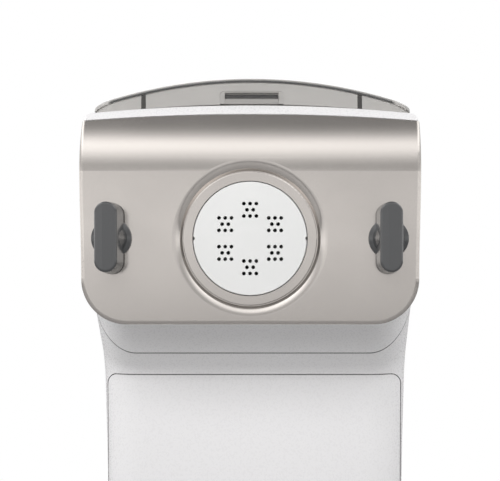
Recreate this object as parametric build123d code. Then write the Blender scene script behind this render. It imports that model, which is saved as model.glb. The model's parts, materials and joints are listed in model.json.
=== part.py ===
from build123d import *

# Electric pasta maker: a countertop machine that mixes dough and presses it through a shaping disc.
#
# The machine stands on four feet with its front towards -Y and +Z up.  The origin is on the floor under
# the middle of its overall box.  A front panel, clamped by two wing knobs, closes the extrusion tube.
# Behind it lie the mixing chamber under a hinged lid, then the gearbox and the motor.  A drawer for the
# discs fills the front of the base.  All sizes are in millimetres.
import math
import os

# ---------------------------------------------------------------- overall sizes
LENGTH = 343.0  # over the knobs, front to back
HEIGHT = 300.0  # floor to the crest of the lid
PANEL_W = 215.0  # width of the front panel, the widest piece
KNOB_H = 24.0  # how far the knobs stand out from the panel
LID_RISE = 17.0  # crest of the lid above the rim
AXIS_DROP = 88.0  # extrusion axis below the rim

FRONT_Y = -LENGTH / 2  # front of the knobs
REAR_Y = LENGTH / 2  # back of the housing
PANEL_Y = FRONT_Y + KNOB_H  # flat of the front panel
RIM_Z = HEIGHT - LID_RISE  # crest of the rim under the lid
AXIS_Z = RIM_Z - AXIS_DROP

# ---------------------------------------------------------------- clearances
SLIP = 0.3  # gap round pieces that lift, slide or close
SEAT = 0.15  # gap between moulded pieces that are screwed together
PRESS = 0.05  # gap round pieces that are pressed in
RUN = 0.06  # radial gap of a shaft in its bush
SEAM = 0.6  # visible joint line between housing pieces

# ---------------------------------------------------------------- housing
WALL = 3.0
FRAME_STEP = 0.7  # the housing and the panel's frame lie this far inside the fascia's outline
BODY_FLARE = 3.9  # each side draws in by this much towards the floor
BODY_HALF_TOP = PANEL_W / 2 - FRAME_STEP
BODY_HALF_FOOT = BODY_HALF_TOP - BODY_FLARE
FLARE_Z = AXIS_Z + 10.0  # where the sides reach their full width
FOOT_H = 5.0  # bottom edge of the housing above the floor
CHIN_Z = AXIS_Z - 54.0  # underside of the overhang, at the panel
SEAM_Z = CHIN_Z - 20.5  # underside of the overhang, at the housing seam
PANEL_DEPTH = 29.5  # front panel assembly, front to back
COLLAR_L = 18.0  # front housing, front to back
CHIN_L = 12.0  # overhang behind that seam
HOUSING_Y = PANEL_Y + PANEL_DEPTH  # front edge of the fixed housing
SEAM_Y = HOUSING_Y + COLLAR_L  # joint between the front and the main housing
BASE_Y = SEAM_Y + CHIN_L  # front face of the base
SIDE_Y0 = BASE_Y + 40.0  # upright joint between the base's front and the side panels
COVE_R = 16.0  # concave bend between the overhang and the base
CORNER_R = 28.0  # rounding of the front corners, from the panel down to the floor
REAR_CORNER_R = 34.0
BACK_HALF = BODY_HALF_FOOT - REAR_CORNER_R + 1.0  # half width of the back, between the side panels
REAR_TOP_R = 30.0  # rounding from the deck into the back
RIM_R = 836.0  # arch radius of the rim
SHOULDER_R = 5.0  # rounding from the rim into the sides
LIP_T = 1.6  # lip that laps the housing seams from inside
LIP_L = 3.0
DECK_SPLIT_Z = RIM_Z - 21.0  # the rear deck lifts off above this height
PLATE_T = 3.0  # base plate

# ---------------------------------------------------------------- front panel
SHEET = 1.2  # fascia metal
EDGE_R = 2.6  # rolled edge of the fascia
PANEL_CORNER_R = 29.0
PANEL_TAPER = 1.2  # each side draws in by this much towards the bottom corners
FASCIA_TOP_Z = RIM_Z - 8.0  # crest of the fascia's top edge
FASCIA_TOP_R = 1180.0  # arch radius of that edge
ROLL_R = 55.0  # radius of the rolled top of the panel
ROLL_Z = FASCIA_TOP_Z - 37.7  # where that roll starts
RETURN_D = 16.5  # how far back the fascia's edges return
FRAME_T = 3.0  # frame wall
DISC_R = 35.65  # visible face of the shaping disc
DISC_GAP = 0.45  # dark line round the disc
BOSS_R = 42.0  # flat ring round the disc
BOSS_H = 0.5  # how far that ring stands proud
BOSS_EDGE_R = 0.6  # rounding of its outer edge
DISH_R = 49.0  # where the groove round the ring starts
DISH_D = 2.4  # depth of that groove, deepest beside the ring
KNOB_IN = 20.8  # knob axes from the panel's sides
KNOB_X = PANEL_W / 2 - KNOB_IN
RIB_T = 2.4

# ---------------------------------------------------------------- knobs
KNOB_FLANGE_R = 12.6
KNOB_FLANGE_T = 2.7
KNOB_GAP = 0.3  # flange to fascia
KNOB_HUB_R0, KNOB_HUB_R1 = 6.4, 10.1  # cone from the grip's face down to the flange
GRIP_W = 13.8  # wing, across, at its face
GRIP_L = 42.8  # wing, end to end, at its face
GRIP_DRAFT = 2.6  # degrees that the wing widens towards its foot
GRIP_RIDGE = 1.9  # the crease on the wing's face lies this far off its middle
GRIP_FALL = 3.0  # degrees that the face falls away either side of the crease
GRIP_EDGE_R = 1.5
NECK_R = 6.0
STUD_R = 3.0
STUD_L = 25.0  # stud, from the front plate forwards
STUD_HEAD_T = 1.5
INSERT_R = 4.8
INSERT_END = 4.0  # the knob's neck ends this far before the front plate

# ---------------------------------------------------------------- mixing chamber and extruder
CHAMBER_HALF = 73.0  # half width inside, at the top
CHAMBER_TOP_Z = RIM_Z - 5.0
CHAMBER_WALL = 2.8
CHAMBER_L = 161.3  # front wall to rear wall, outside
CHAMBER_Y0 = HOUSING_Y + 5.2
CHAMBER_Y1 = CHAMBER_Y0 + CHAMBER_L
TROUGH_R = 46.0  # round bottom about the extrusion axis
WELL_HALF = CHAMBER_HALF + CHAMBER_WALL + 1.7  # opening in the top of the housing
FRONT_PLATE_T = 2.5
FRONT_PLATE_Y = CHAMBER_Y0 - SLIP - FRONT_PLATE_T  # front of the front plate
TUBE_R = 39.5  # extrusion tube, outside
TUBE_BORE_R = 33.0
TUBE_FLANGE_R = 45.0
TUBE_FLANGE_T = 2.7
TUBE_END_Y = CHAMBER_Y0 + 46.8
FEED_Y = CHAMBER_Y0 + 8.8  # behind this the tube is open at the top
FEED_Z = 8.0  # height of the open edges above the axis
DISC_FLANGE_R = 38.2
DISC_FLANGE_T = 3.0
DISC_BACK = 9.6  # rear of the disc behind the panel's flat
DISC_SET = 0.3  # the disc's face lies this far behind the ring's
HOLE_R = 1.2  # strand holes
HOLE_PITCH = 3.9
CLUSTERS = 6
CLUSTER_R = 18.0  # clusters of holes about the axis
NOTCH_R = 1.1
SCREW_R = 32.4
SCREW_CORE_R = 12.0
SCREW_TURNS = 1.75
SCREW_BLADE_DEG = 42.0  # part of a turn that the flight takes up
SCREW_GAP = 1.0  # screw to disc
SHAFT_R = 7.0
SHAFT_Y0 = TUBE_END_Y + 6.0
HUB_R = 11.0
HUB_L = 64.0
HUB_Y1 = CHAMBER_Y1 - CHAMBER_WALL - 1.7
HUB_Y0 = HUB_Y1 - HUB_L
BLADE_R0, BLADE_R1 = 35.0, 43.4
BLADE_DEG = 9.0
BLADE_TWIST = 50.0
ARM_T = 6.0
SEAL_T = 3.4

# ---------------------------------------------------------------- rear deck and lid
WELL_Y1 = CHAMBER_Y1 + SLIP  # rear edge of the well, where the rear deck starts
LID_HALF = PANEL_W / 2 - 3.5
LID_ARCH_R = 314.5  # radius of the lid's crown across the machine
LID_Y0 = HOUSING_Y - 4.5
LID_Y1 = CHAMBER_Y1 + 11.5
LID_WALL = 2.4
LID_CORNER_R = 14.0
LID_EDGE_R = 2.0
LID_LIP = 0.9  # the crown stands this far out over the lid's sides
LID_LIP_T = 2.6
SKIRT_HALF = CHAMBER_HALF - 1.4
SKIRT_T = 3.0
SKIRT_Y0 = CHAMBER_Y0 + CHAMBER_WALL + 2.4
SKIRT_Y1 = CHAMBER_Y1 - CHAMBER_WALL - 2.7
SKIRT_Z = RIM_Z - 8.5
SKIRT_CORNER_R = 12.0
LATCH_HALF = 20.5  # finger latch in the lid's front
LATCH_TOP = 8.6  # top of the latch above the rim
LATCH_CORNER_R = 2.5
LATCH_LEG = 3.0
LATCH_D = 7.0  # latch, front to back
LATCH_PROUD = 2.0
INLET_L, INLET_W = 74.0, 6.0  # slot for the liquid
INLET_X = 40.0
HINGE_Y = LID_Y1 + 13.5
HINGE_Z = RIM_Z + 4.5
HINGE_X = 62.0
KNUCKLE_R = 4.6
KNUCKLE_W = 12.0
PIN_R = 2.5
EAR_T = 4.0
ARM_H = 5.4

# ---------------------------------------------------------------- drawer
DRAWER_TOP_Z = AXIS_Z - 90.0
DRAWER_SIDE = 1.8  # the drawer's sides end this far inside the housing's
DRAWER_CORNER_R = 7.5
DRAWER_DEPTH = 24.0  # how far the drawer front wraps round the corners
TRAY_L = 126.5
TRAY_HALF = BODY_HALF_FOOT - 18.9
TRAY_Y0 = BASE_Y + 5.5
TRAY_Y1 = TRAY_Y0 + TRAY_L
TRAY_Z0 = FOOT_H + PLATE_T + 3.0
TRAY_H = 63.0
TRAY_T = 2.0
DIVIDERS = 4
DIVIDER_H = 34.0
RAIL_T = 4.0
RAIL_LEDGE = 6.0
RAIL_H = 15.0
RAIL_BACK = 32.0  # the rails start this far behind the tray's front
SCOOP_HALF = 32.0  # finger recess under the drawer front
SCOOP_R = 8.0

# ---------------------------------------------------------------- chassis
CRADLE_Z = DRAWER_TOP_Z + 1.0
CRADLE_T = 3.0
SADDLE_T = 6.0
SADDLE_HALF = 60.0
SADDLE_TOP_Z = AXIS_Z - 23.0
SADDLE_Y0, SADDLE_Y1 = CHAMBER_Y0 + 52.8, CHAMBER_Y1 - 22.5
LEG_X = BODY_HALF_FOOT - 7.9
LEG_Y0, LEG_Y1 = CHAMBER_Y0 + 62.8, CHAMBER_Y1 - 8.5
PLATE_Y0 = CHAMBER_Y1 + SLIP  # front of the gearbox plate
BULKHEAD_T = 3.0
BULKHEAD_FOOT = 14.0
GEARBOX_Y = PLATE_Y0 + BULKHEAD_T  # front of the gearbox

# ---------------------------------------------------------------- gears and motor
MODULE = 1.5
PINION_TEETH = 14
GEAR_TEETH = 50
PRESSURE_DEG = 20.0
BACKLASH = 0.16
CENTRES = MODULE * (PINION_TEETH + GEAR_TEETH) / 2
LAY_Z = AXIS_Z - CENTRES
MOTOR_Z = LAY_Z - CENTRES
COVER_T = 4.0  # gearbox halves: end walls
CASE_T = 2.5  # gearbox halves: side walls
STAGE2_Y0, STAGE2_W = GEARBOX_Y + COVER_T + 2.7, 11.0
STAGE1_Y0, STAGE1_W = STAGE2_Y0 + STAGE2_W + 2.5, 8.0
PINION_EXTRA = 0.5  # pinions are this much wider at each end
GEARBOX_Y1 = STAGE1_Y0 + STAGE1_W + 4.8 + COVER_T
TIP_GAP = 4.0  # gear tips to the gearbox wall
LAY_R = 5.0
MOTOR_SHAFT_R = 4.0
BUSH_T = 3.2
MOTOR_R = 38.0
MOTOR_T = 2.5
MOTOR_L = 61.2
MOTOR_Y1 = GEARBOX_Y1 + MOTOR_L
ROTOR_R = 24.5
ROTOR_SLOTS, ROTOR_SLOT_R = 10, 2.4
STATOR_SLOTS, STATOR_SLOT_R = 4, 3.2
AIR_GAP = 0.8
ROTOR_L = 38.0
FAN_R = 30.0
FAN_T = 7.0
FAN_BLADES = 9
FAN_BLADE_T = 1.6

# ---------------------------------------------------------------- controls
CONTROL_Y, CONTROL_Z = CHAMBER_Y0 + 102.8, AXIS_Z + 46.0  # middle of the control panel
BEZEL_L, BEZEL_H = 96.0, 38.0
BEZEL_R = 6.0
BEZEL_T = 1.5
BEZEL_STEP = 3.0  # the flange overlaps the cut-out by this much
BEZEL_D = 5.5
BEZEL_PROUD = 0.3
WINDOW_L, WINDOW_H, WINDOW_T = 36.0, 20.0, 1.6
WINDOW_R = 1.5
WINDOW_SHIFT = -25.0
BUTTON_L, BUTTON_H, BUTTON_R = 14.0, 9.0, 2.5
BUTTON_FLANGE, BUTTON_FLANGE_T = 1.0, 1.5
BUTTON_TRAVEL = 1.0
BUTTON_PROUD = 0.3
BUTTON_YS = (8.0, 29.0)
BUTTON_ZS = (-7.5, 7.5)
STEM_R = 1.5
SWITCH_H = 2.5  # small switches under the buttons
BOARD_T = 1.6
BOARD_GAP = 7.0  # bezel to board
PILLAR_R = 2.5

# ---------------------------------------------------------------- back and underside
COVER_SHEET = 1.6  # rear cover's flange
COVER_LEDGE = 7.0
COVER_HALF, COVER_R = 64.0, 12.0
COVER_Z0, COVER_Z1 = FOOT_H + 37.0, RIM_Z - 45.0
LOUVRE_L, LOUVRE_H, LOUVRE_PITCH = 44.0, 3.0, 8.0
LOUVRES, LOUVRE_X, LOUVRE_Z = 9, 27.0, 24.0  # the lowest lies LOUVRE_Z above the cover's edge
SCREW_HOLE_R, SCREW_HEAD_R, SCREW_L = 1.7, 3.2, 7.0
SCREW_BOSS_R, SCREW_BOSS_L = 4.5, 12.0
BASE_SCREW_YS = (BASE_Y + 32.0, GEARBOX_Y + 24.2, REAR_Y - 43.5)
GLAND_X, GLAND_Z = -52.0, FOOT_H + 21.0
GLAND_R, GLAND_BORE = 6.5, 3.6
GLAND_SET = 0.4  # the bush ends this far inside the back's face
FOOT_IN, FOOT_R, FOOT_STUD_R = 26.0, 10.0, 3.0
BASE_SLOTS, BASE_SLOT_L, BASE_SLOT_PITCH = 7, 60.0, 9.0
BASE_SLOT_Y = GEARBOX_Y + 26.2
POWER_X, POWER_Y0, POWER_L, POWER_H = BODY_HALF_FOOT - 18.9, GEARBOX_Y + 18.2, 70.0, 84.0
COIL = (22.0, 0.11, 26.0, 0.14, 28.0)  # reach, then share along and length, share up and height
RELAY = (14.0, 0.63, 16.0, 0.16, 16.0)
CAPACITOR_R, CAPACITOR_L = 6.0, 18.0
SWITCH_X, SWITCH_L, SWITCH_T, SWITCH_D = 24.0, 20.0, 7.0, 11.0

AHEAD = 5.0  # cores start this far before the opening that they cut
FAR = 400.0  # cutting blocks reach this far


# ================================================================ shape helpers
def block(x0, x1, y0, y1, z0, z1):
    """A box between two corners."""
    middle = ((x0 + x1) / 2, (y0 + y1) / 2, (z0 + z1) / 2)
    return Pos(*middle) * Box(x1 - x0, y1 - y0, z1 - z0)


def rod_y(radius, y0, y1, x=0.0, z=AXIS_Z):
    """A cylinder along Y."""
    return Pos(x, (y0 + y1) / 2, z) * Rot(90, 0, 0) * Cylinder(radius, y1 - y0)


def ring_y(outer, inner, y0, y1, x=0.0, z=AXIS_Z):
    """A tube along Y."""
    return rod_y(outer, y0, y1, x, z) - rod_y(inner, y0 - 1, y1 + 1, x, z)


def rod_z(radius, x, y, z0, z1):
    """An upright cylinder."""
    return Pos(x, y, (z0 + z1) / 2) * Cylinder(radius, z1 - z0)


def rod_x(radius, x0, x1, y, z):
    """A cylinder along X."""
    return Pos((x0 + x1) / 2, y, z) * Rot(0, 90, 0) * Cylinder(radius, x1 - x0)


def side_cut(*steps, half=FAR):
    """Extrudes a closed outline of the Y-Z plane to both sides."""
    return extrude(make_face(Plane.YZ * Wire(list(steps))), half, both=True)


def front_cut(face, y0, y1):
    """Extrudes a face, drawn with X across and Z up, from y0 to y1."""
    return extrude(Plane.XZ.offset(-y1) * face, y1 - y0)


def side_slab(face, x0, x1):
    """Extrudes a face, drawn with Y across and Z up, from x0 to x1."""
    return extrude(Plane.YZ.offset(x0) * face, x1 - x0)


def plan_slab(x_half, y0, y1, z0, z1, radius):
    """An upright block with rounded corners."""
    face = Pos(0, (y0 + y1) / 2) * RectangleRounded(2 * x_half, y1 - y0, radius)
    return extrude(Pos(0, 0, z0) * face, z1 - z0)


def turned_y(points, x=0.0, z=AXIS_Z):
    """Revolves an outline of (radius, y) points about an axis along Y."""
    outline = Polyline(*[(r, y, 0) for r, y in points], close=True)
    return Pos(x, 0, z) * revolve(make_face(outline), Axis.Y)


def arch_z(crest, radius, x):
    """Height, at x, of an arched surface that runs along Y."""
    return crest - radius + math.sqrt(radius**2 - x**2)


def arch_face(crest, radius, z_low, half):
    """Everything under such an arch, down to z_low and out to half."""
    edge = arch_z(crest, radius, half)
    return make_face(
        Wire(
            [
                Line((-half, z_low), (half, z_low)),
                Line((half, z_low), (half, edge)),
                ThreePointArc((half, edge), (0, crest), (-half, edge)),
                Line((-half, edge), (-half, z_low)),
            ]
        )
    )


def under_arch(crest, radius, half=FAR / 2):
    """A cutting block that fills the space under an arch."""
    return front_cut(arch_face(crest, radius, -FAR, half), -FAR, FAR)


def round_top(face, radius):
    """Rounds the two top corners of an outline."""
    top = max(v.Y for v in face.vertices())
    return fillet([v for v in face.vertices() if v.Y > top - 1.0], radius)


# ================================================================ housing form
def body_outline(inset):
    """Front view of the housing: sides that draw in towards the floor, arched top."""
    foot, low = BODY_HALF_FOOT - inset, FOOT_H + inset
    top, crest = BODY_HALF_TOP - inset, RIM_Z - inset
    radius = RIM_R - inset
    shoulder = arch_z(crest, radius, top)
    right = Spline((foot, low), (top, FLARE_Z), tangents=[(0, 1), (0, 1)])
    left = Spline((-top, FLARE_Z), (-foot, low), tangents=[(0, -1), (0, -1)])
    wire = Wire(
        [
            Line((-foot, low), (foot, low)),
            right,
            Line((top, FLARE_Z), (top, shoulder)),
            ThreePointArc((top, shoulder), (0, crest), (-top, shoulder)),
            Line((-top, shoulder), (-top, FLARE_Z)),
            left,
        ]
    )
    return make_face(wire)


def body_block(inset, front_y):
    """The housing's outer form, moved inwards by inset, from front_y to the back."""
    slope = math.atan2(CHIN_Z - SEAM_Z, SEAM_Y - HOUSING_Y)
    run, rise = math.cos(slope), math.sin(slope)
    lift = inset / run  # a sloping wall of that thickness, measured upright
    chin = (front_y, CHIN_Z + lift + (HOUSING_Y - front_y) * rise / run)
    base, foot, back = BASE_Y + inset, FOOT_H + inset, REAR_Y - inset
    corner = (base, CHIN_Z + lift - (base - HOUSING_Y) * rise / run)
    bend_r = COVE_R + inset
    tangent = bend_r * math.tan((math.pi / 2 - slope) / 2)
    start = (corner[0] - tangent * run, corner[1] + tangent * rise)
    end = (corner[0], corner[1] - tangent)
    half_way = slope / 2 + math.pi / 4
    mid = (
        end[0] - bend_r + bend_r * math.sin(half_way),
        end[1] + bend_r * math.cos(half_way),
    )
    form = side_cut(
        Line(chin, start),
        ThreePointArc(start, mid, end),
        Line(end, (base, foot)),
        Line((base, foot), (back, foot)),
        Line((back, foot), (back, FAR)),
        Line((back, FAR), (front_y, FAR)),
        Line((front_y, FAR), chin),
    )
    form &= front_cut(body_outline(inset), front_y, back)
    sides = [e for e in form.edges() if abs(e.center().X) > BODY_HALF_FOOT / 2]
    low = [e for e in sides if e.center().Z < CHIN_Z + lift]
    corners = [e for e in low if front_y + 0.5 < e.center().Y < base + 0.5]
    form = fillet(corners, CORNER_R - inset)
    sides = [e for e in form.edges() if abs(e.center().X) > BODY_HALF_FOOT / 2]
    form = fillet([e for e in sides if e.center().Y > back - 0.5], REAR_CORNER_R - inset)
    form &= rear_round(inset)
    half = BODY_HALF_TOP - inset
    shoulder = arch_z(RIM_Z - inset, RIM_R - inset, half)
    sides = [e for e in form.edges() if abs(e.center().X) > half - 0.1]
    shoulders = [e for e in sides if e.center().Z > shoulder - 0.1]
    return fillet(shoulders, SHOULDER_R - inset / 2)


def rear_round(inset):
    """A cutting block that rounds the deck into the back."""
    back, radius = REAR_Y - inset, REAR_TOP_R - inset
    top = RIM_Z + SHOULDER_R / 2 - inset
    diagonal = radius * (1 - math.sqrt(0.5))
    turn = (back - diagonal, top - diagonal)
    return side_cut(
        Line((-FAR, 0), (back, 0)),
        Line((back, 0), (back, top - radius)),
        ThreePointArc((back, top - radius), turn, (back - radius, top)),
        Line((back - radius, top), (-FAR, top)),
        Line((-FAR, top), (-FAR, 0)),
    )


def plan_block(inset, z0, z1):
    """The base's plan at its foot, moved inwards by inset, as an upright block."""
    half = BODY_HALF_FOOT - inset
    front, back = BASE_Y + inset, REAR_Y - inset
    form = block(-half, half, front, back, z0, z1)
    fronts = [e for e in form.edges().filter_by(Axis.Z) if e.center().Y < front + 1]
    form = fillet(fronts, CORNER_R - inset)
    rears = [e for e in form.edges().filter_by(Axis.Z) if e.center().Y > back - 1]
    return fillet(rears, REAR_CORNER_R - inset)


# ================================================================ front panel form
def panel_outline(inset):
    """Front view of the panel: rounded bottom corners, near-upright sides, arched top."""
    half, low = PANEL_W / 2 - inset, CHIN_Z + inset
    foot, radius = half - PANEL_TAPER, PANEL_CORNER_R - inset
    crest, arch_r = RIM_Z - inset, RIM_R - inset
    shoulder = arch_z(crest, arch_r, half)
    bend = radius * (1 - math.sqrt(0.5))
    wire = Wire(
        [
            Line((radius - foot, low), (foot - radius, low)),
            ThreePointArc((foot - radius, low), (foot - bend, low + bend), (foot, low + radius)),
            Spline((foot, low + radius), (half, ROLL_Z), tangents=[(0, 1), (0, 1)]),
            Line((half, ROLL_Z), (half, shoulder)),
            ThreePointArc((half, shoulder), (0, crest), (-half, shoulder)),
            Line((-half, shoulder), (-half, ROLL_Z)),
            Spline((-half, ROLL_Z), (-foot, low + radius), tangents=[(0, -1), (0, -1)]),
            ThreePointArc((-foot, low + radius), (bend - foot, low + bend), (radius - foot, low)),
        ]
    )
    return make_face(wire)


def panel_block(inset):
    """The front panel's outer form, moved inwards by inset: flat face, top rolled back."""
    front, radius = PANEL_Y + inset, ROLL_R - inset
    back = PANEL_Y + ROLL_R
    diagonal = radius * math.sqrt(0.5)
    form = side_cut(
        Line((front, 0), (front, ROLL_Z)),
        ThreePointArc(
            (front, ROLL_Z), (back - diagonal, ROLL_Z + diagonal), (back, ROLL_Z + radius)
        ),
        Line((back, ROLL_Z + radius), (back, 0)),
        Line((back, 0), (front, 0)),
    )
    form &= front_cut(panel_outline(inset), PANEL_Y - 1, HOUSING_Y)
    low = [e for e in form.edges() if e.center().Y < HOUSING_Y - 1 and e.center().Z < FASCIA_TOP_Z]
    rim = [e for e in low if on_front(e, front) and not on_roll_seam(e)]
    return fillet(rim, EDGE_R - min(inset, EDGE_R - 0.5))


def on_front(edge, front):
    """True for an edge between the panel's face, flat or rolled, and its sides."""
    point = edge.center()
    if point.Z < ROLL_Z + 1:
        return abs(point.Y - front) < 0.01
    reach = math.hypot(point.Y - PANEL_Y - ROLL_R, point.Z - ROLL_Z)
    return abs(reach - (ROLL_R - (front - PANEL_Y))) < 0.2


def on_roll_seam(edge):
    """True for the level edge where the flat face runs into the roll, or the roll into the arch."""
    return abs(edge.center().X) < 1.0 and edge.center().Z > CHIN_Z + EDGE_R + 5




# ================================================================ housing pieces
def housing_shell():
    """The whole white housing, open at the front and underneath, before it is split."""
    shell = body_block(0.0, HOUSING_Y) - body_block(WALL, HOUSING_Y - AHEAD)
    shell -= plan_block(WALL, FOOT_H - 1, FOOT_H + PLATE_T + WALL)
    return shell - well_cut()


def seam_lip():
    """A thin band inside the front edge of the main housing that laps the seam."""
    hollow = body_block(WALL + SEAT + LIP_T, HOUSING_Y - AHEAD)
    lip = body_block(WALL + SEAT, HOUSING_Y - AHEAD) - hollow
    root = body_block(WALL / 2, HOUSING_Y - AHEAD) - hollow
    above = CHIN_Z - COVE_R * 2
    band = lip & block(-FAR, FAR, SEAM_Y - LIP_L, SEAM_Y + SEAM, above, FAR)
    return band + (root & block(-FAR, FAR, SEAM_Y + SEAM / 2, SEAM_Y + LIP_L, above, FAR))


def well_cut():
    """The opening above the mixing chamber, through the rim."""
    return plan_slab(WELL_HALF, CHAMBER_Y0 - SLIP, WELL_Y1, FLARE_Z, FAR, 1.0)


def drawer_mouth(gap):
    """The drawer front's outline, as a cutter through the base's front and corners."""
    half = BODY_HALF_FOOT - DRAWER_SIDE + gap
    foot, top = FOOT_H + PLATE_T + SEAM - gap, DRAWER_TOP_Z + gap
    face = Pos(0, (foot + top) / 2) * Rectangle(2 * half, top - foot)
    face = fillet([v for v in face.vertices() if v.Y > foot + 1], DRAWER_CORNER_R + gap)
    return front_cut(face, BASE_Y - 1, BASE_Y + DRAWER_DEPTH + gap)


def make_front_housing(shell):
    """The collar behind the panel: chin, sides and the front of the rim."""
    return shell & block(-FAR, FAR, HOUSING_Y - 1, SEAM_Y - SEAM / 2, 0, FAR)


def body_shell(shell):
    """Base front, sides and back of the machine, before they are parted."""
    body = shell & block(-FAR, FAR, SEAM_Y + SEAM / 2, FAR, 0, FAR)
    body -= block(-FAR, FAR, WELL_Y1, FAR, DECK_SPLIT_Z - SEAM / 2, FAR)
    body -= drawer_mouth(SEAM)
    body += seam_lip() - well_cut()
    body -= bezel_slab(SLIP, BODY_HALF_TOP + BEZEL_PROUD - BEZEL_T - SEAT, FAR)
    body -= bezel_slab(SLIP - BEZEL_STEP, BODY_HALF_TOP - 2 * WALL, FAR)
    body -= rear_opening(SLIP, REAR_Y - COVER_SHEET, FAR)
    body -= rear_opening(-COVER_LEDGE, REAR_Y - 2 * WALL, FAR)
    for x, z in cover_screw_places():
        body -= rod_y(SCREW_HOLE_R, REAR_Y - 2 * WALL, REAR_Y, x, z)
    body -= rod_y(GLAND_R, REAR_Y - 2 * WALL, FAR, GLAND_X, GLAND_Z)
    low = FOOT_H + PLATE_T + SEAT
    high = low + SCREW_BOSS_L
    for x, y in base_screw_places():
        x0, x1 = sorted((x, math.copysign(BODY_HALF_FOOT - WALL / 2, x)))
        body += block(x0, x1, y - WALL / 2, y + WALL / 2, low, high)
        body += rod_z(SCREW_BOSS_R, x, y, low, high)
        body -= rod_z(SCREW_HOLE_R, x, y, 0, high - WALL / 2)
    return body


def make_main_housing(body):
    """Front of the body: chin, base front with the drawer's mouth, and the start of the sides."""
    return body & block(-FAR, FAR, -FAR, SIDE_Y0 - SEAT / 2, 0, FAR)


def make_side_panel(body, side):
    """Side of the body, from the joint behind the base's front round the corner to the back."""
    x0, x1 = sorted((side * (BACK_HALF + SEAT / 2), side * FAR))
    return body & block(x0, x1, SIDE_Y0 + SEAT / 2, FAR, 0, FAR)


def make_rear_housing(body):
    """Back of the body between the side panels, with the service opening."""
    half = BACK_HALF - SEAT / 2
    return body & block(-half, half, SIDE_Y0, FAR, 0, FAR)


def make_rear_deck(shell):
    """Top cover behind the well, with the four ears of the lid's hinge."""
    deck = shell & block(-FAR, FAR, WELL_Y1 + SEAM, FAR, DECK_SPLIT_Z + SEAM / 2, FAR)
    foot = arch_z(RIM_Z, RIM_R, HINGE_X) - WALL
    front, back = HINGE_Y - KNUCKLE_R, HINGE_Y + KNUCKLE_R
    inner = KNUCKLE_W / 2 + SLIP
    reach = inner + EAR_T + 1
    for middle in (-HINGE_X, HINGE_X):
        for edge in (-1, 1):
            x0, x1 = sorted((middle + edge * inner, middle + edge * (inner + EAR_T)))
            deck += block(x0, x1, front, back, foot, HINGE_Z)
            deck += rod_x(KNUCKLE_R, x0, x1, HINGE_Y, HINGE_Z)
        deck -= rod_x(PIN_R + RUN / 2, middle - reach, middle + reach, HINGE_Y, HINGE_Z)
    return deck


def rear_opening(gap, y0, y1):
    """The service opening in the back, as a cutter; gap widens it."""
    face = RectangleRounded(2 * COVER_HALF + 2 * gap, COVER_Z1 - COVER_Z0 + 2 * gap, COVER_R + gap)
    return front_cut(Pos(0, (COVER_Z0 + COVER_Z1) / 2) * face, y0, y1)


def make_rear_cover():
    """Service cover with two banks of louvres, set flush in the back."""
    inside = REAR_Y - 2 * WALL
    step = -COVER_LEDGE - SLIP
    cover = rear_opening(0, REAR_Y - COVER_SHEET, REAR_Y)
    cover += rear_opening(step, REAR_Y - WALL, REAR_Y - COVER_SHEET)
    cover -= rear_opening(step - WALL, inside, REAR_Y - COVER_SHEET)
    slot = SlotOverall(LOUVRE_L, LOUVRE_H)
    for x in (-LOUVRE_X, LOUVRE_X):
        for i in range(LOUVRES):
            z = COVER_Z0 + LOUVRE_Z + i * LOUVRE_PITCH
            cover -= front_cut(Pos(x, z) * slot, inside, REAR_Y + 1)
    rim_y, neck_y = REAR_Y + 1, REAR_Y - COVER_SHEET
    rim_r, neck_r = SCREW_HEAD_R + 1 + SEAT, SCREW_HOLE_R + SEAT
    for x, z in cover_screw_places():
        sink = [(0, rim_y), (rim_r, rim_y), (neck_r, neck_y), (neck_r, inside), (0, inside)]
        cover -= turned_y(sink, x, z)
    return cover


def cover_screw_places():
    """Screws in the corners of the rear cover."""
    x = COVER_HALF - COVER_LEDGE / 2 - SEAT
    heights = (COVER_Z0 + COVER_R, COVER_Z1 - COVER_R)
    return [(sx * x, z) for sx in (-1, 1) for z in heights]


def make_cover_screws():
    """Four countersunk screws that hold the rear cover, flush with its face."""
    neck_y, tip_y = REAR_Y - COVER_SHEET, REAR_Y - WALL - SCREW_L
    neck_r = SCREW_HOLE_R - SEAT
    outline = [(0, REAR_Y), (SCREW_HEAD_R, REAR_Y), (neck_r, neck_y), (neck_r, tip_y), (0, tip_y)]
    screws = [turned_y(outline, x, z).solids()[0] for x, z in cover_screw_places()]
    return Compound(children=screws)


def make_base_plate():
    """Bottom plate inside the housing's skirt, with holes for the feet's studs and vents."""
    plate = plan_block(WALL + SEAT, FOOT_H, FOOT_H + PLATE_T)
    for x, y in foot_places():
        plate -= rod_z(FOOT_STUD_R + SEAT, x, y, 0, 20)
    for x, y in base_screw_places():
        plate -= rod_z(SCREW_HOLE_R + SEAT, x, y, 0, 20)
    slot = SlotOverall(BASE_SLOT_L, LOUVRE_H)
    for i in range(BASE_SLOTS):
        y = BASE_SLOT_Y + i * BASE_SLOT_PITCH
        plate -= extrude(Pos(0, y, FOOT_H - 1) * slot, PLATE_T + 2)
    return plate


def foot_places():
    """The four feet, inside the corners of the base."""
    xs = BODY_HALF_FOOT - FOOT_IN
    return [(sx * xs, y) for sx in (-1, 1) for y in (BASE_Y + FOOT_IN, REAR_Y - FOOT_IN)]


def make_feet():
    """Four rubber feet with a stud each, pressed up through the base plate."""
    feet = []
    for x, y in foot_places():
        pad = rod_z(FOOT_R, x, y, 0, FOOT_H)
        pad = chamfer(pad.edges().sort_by(Axis.Z)[0], FOOT_H / 4)
        pad += rod_z(FOOT_STUD_R, x, y, FOOT_H / 2, FOOT_H + PLATE_T + 2)
        feet.append(pad.solids()[0])
    return Compound(children=feet)


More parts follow.
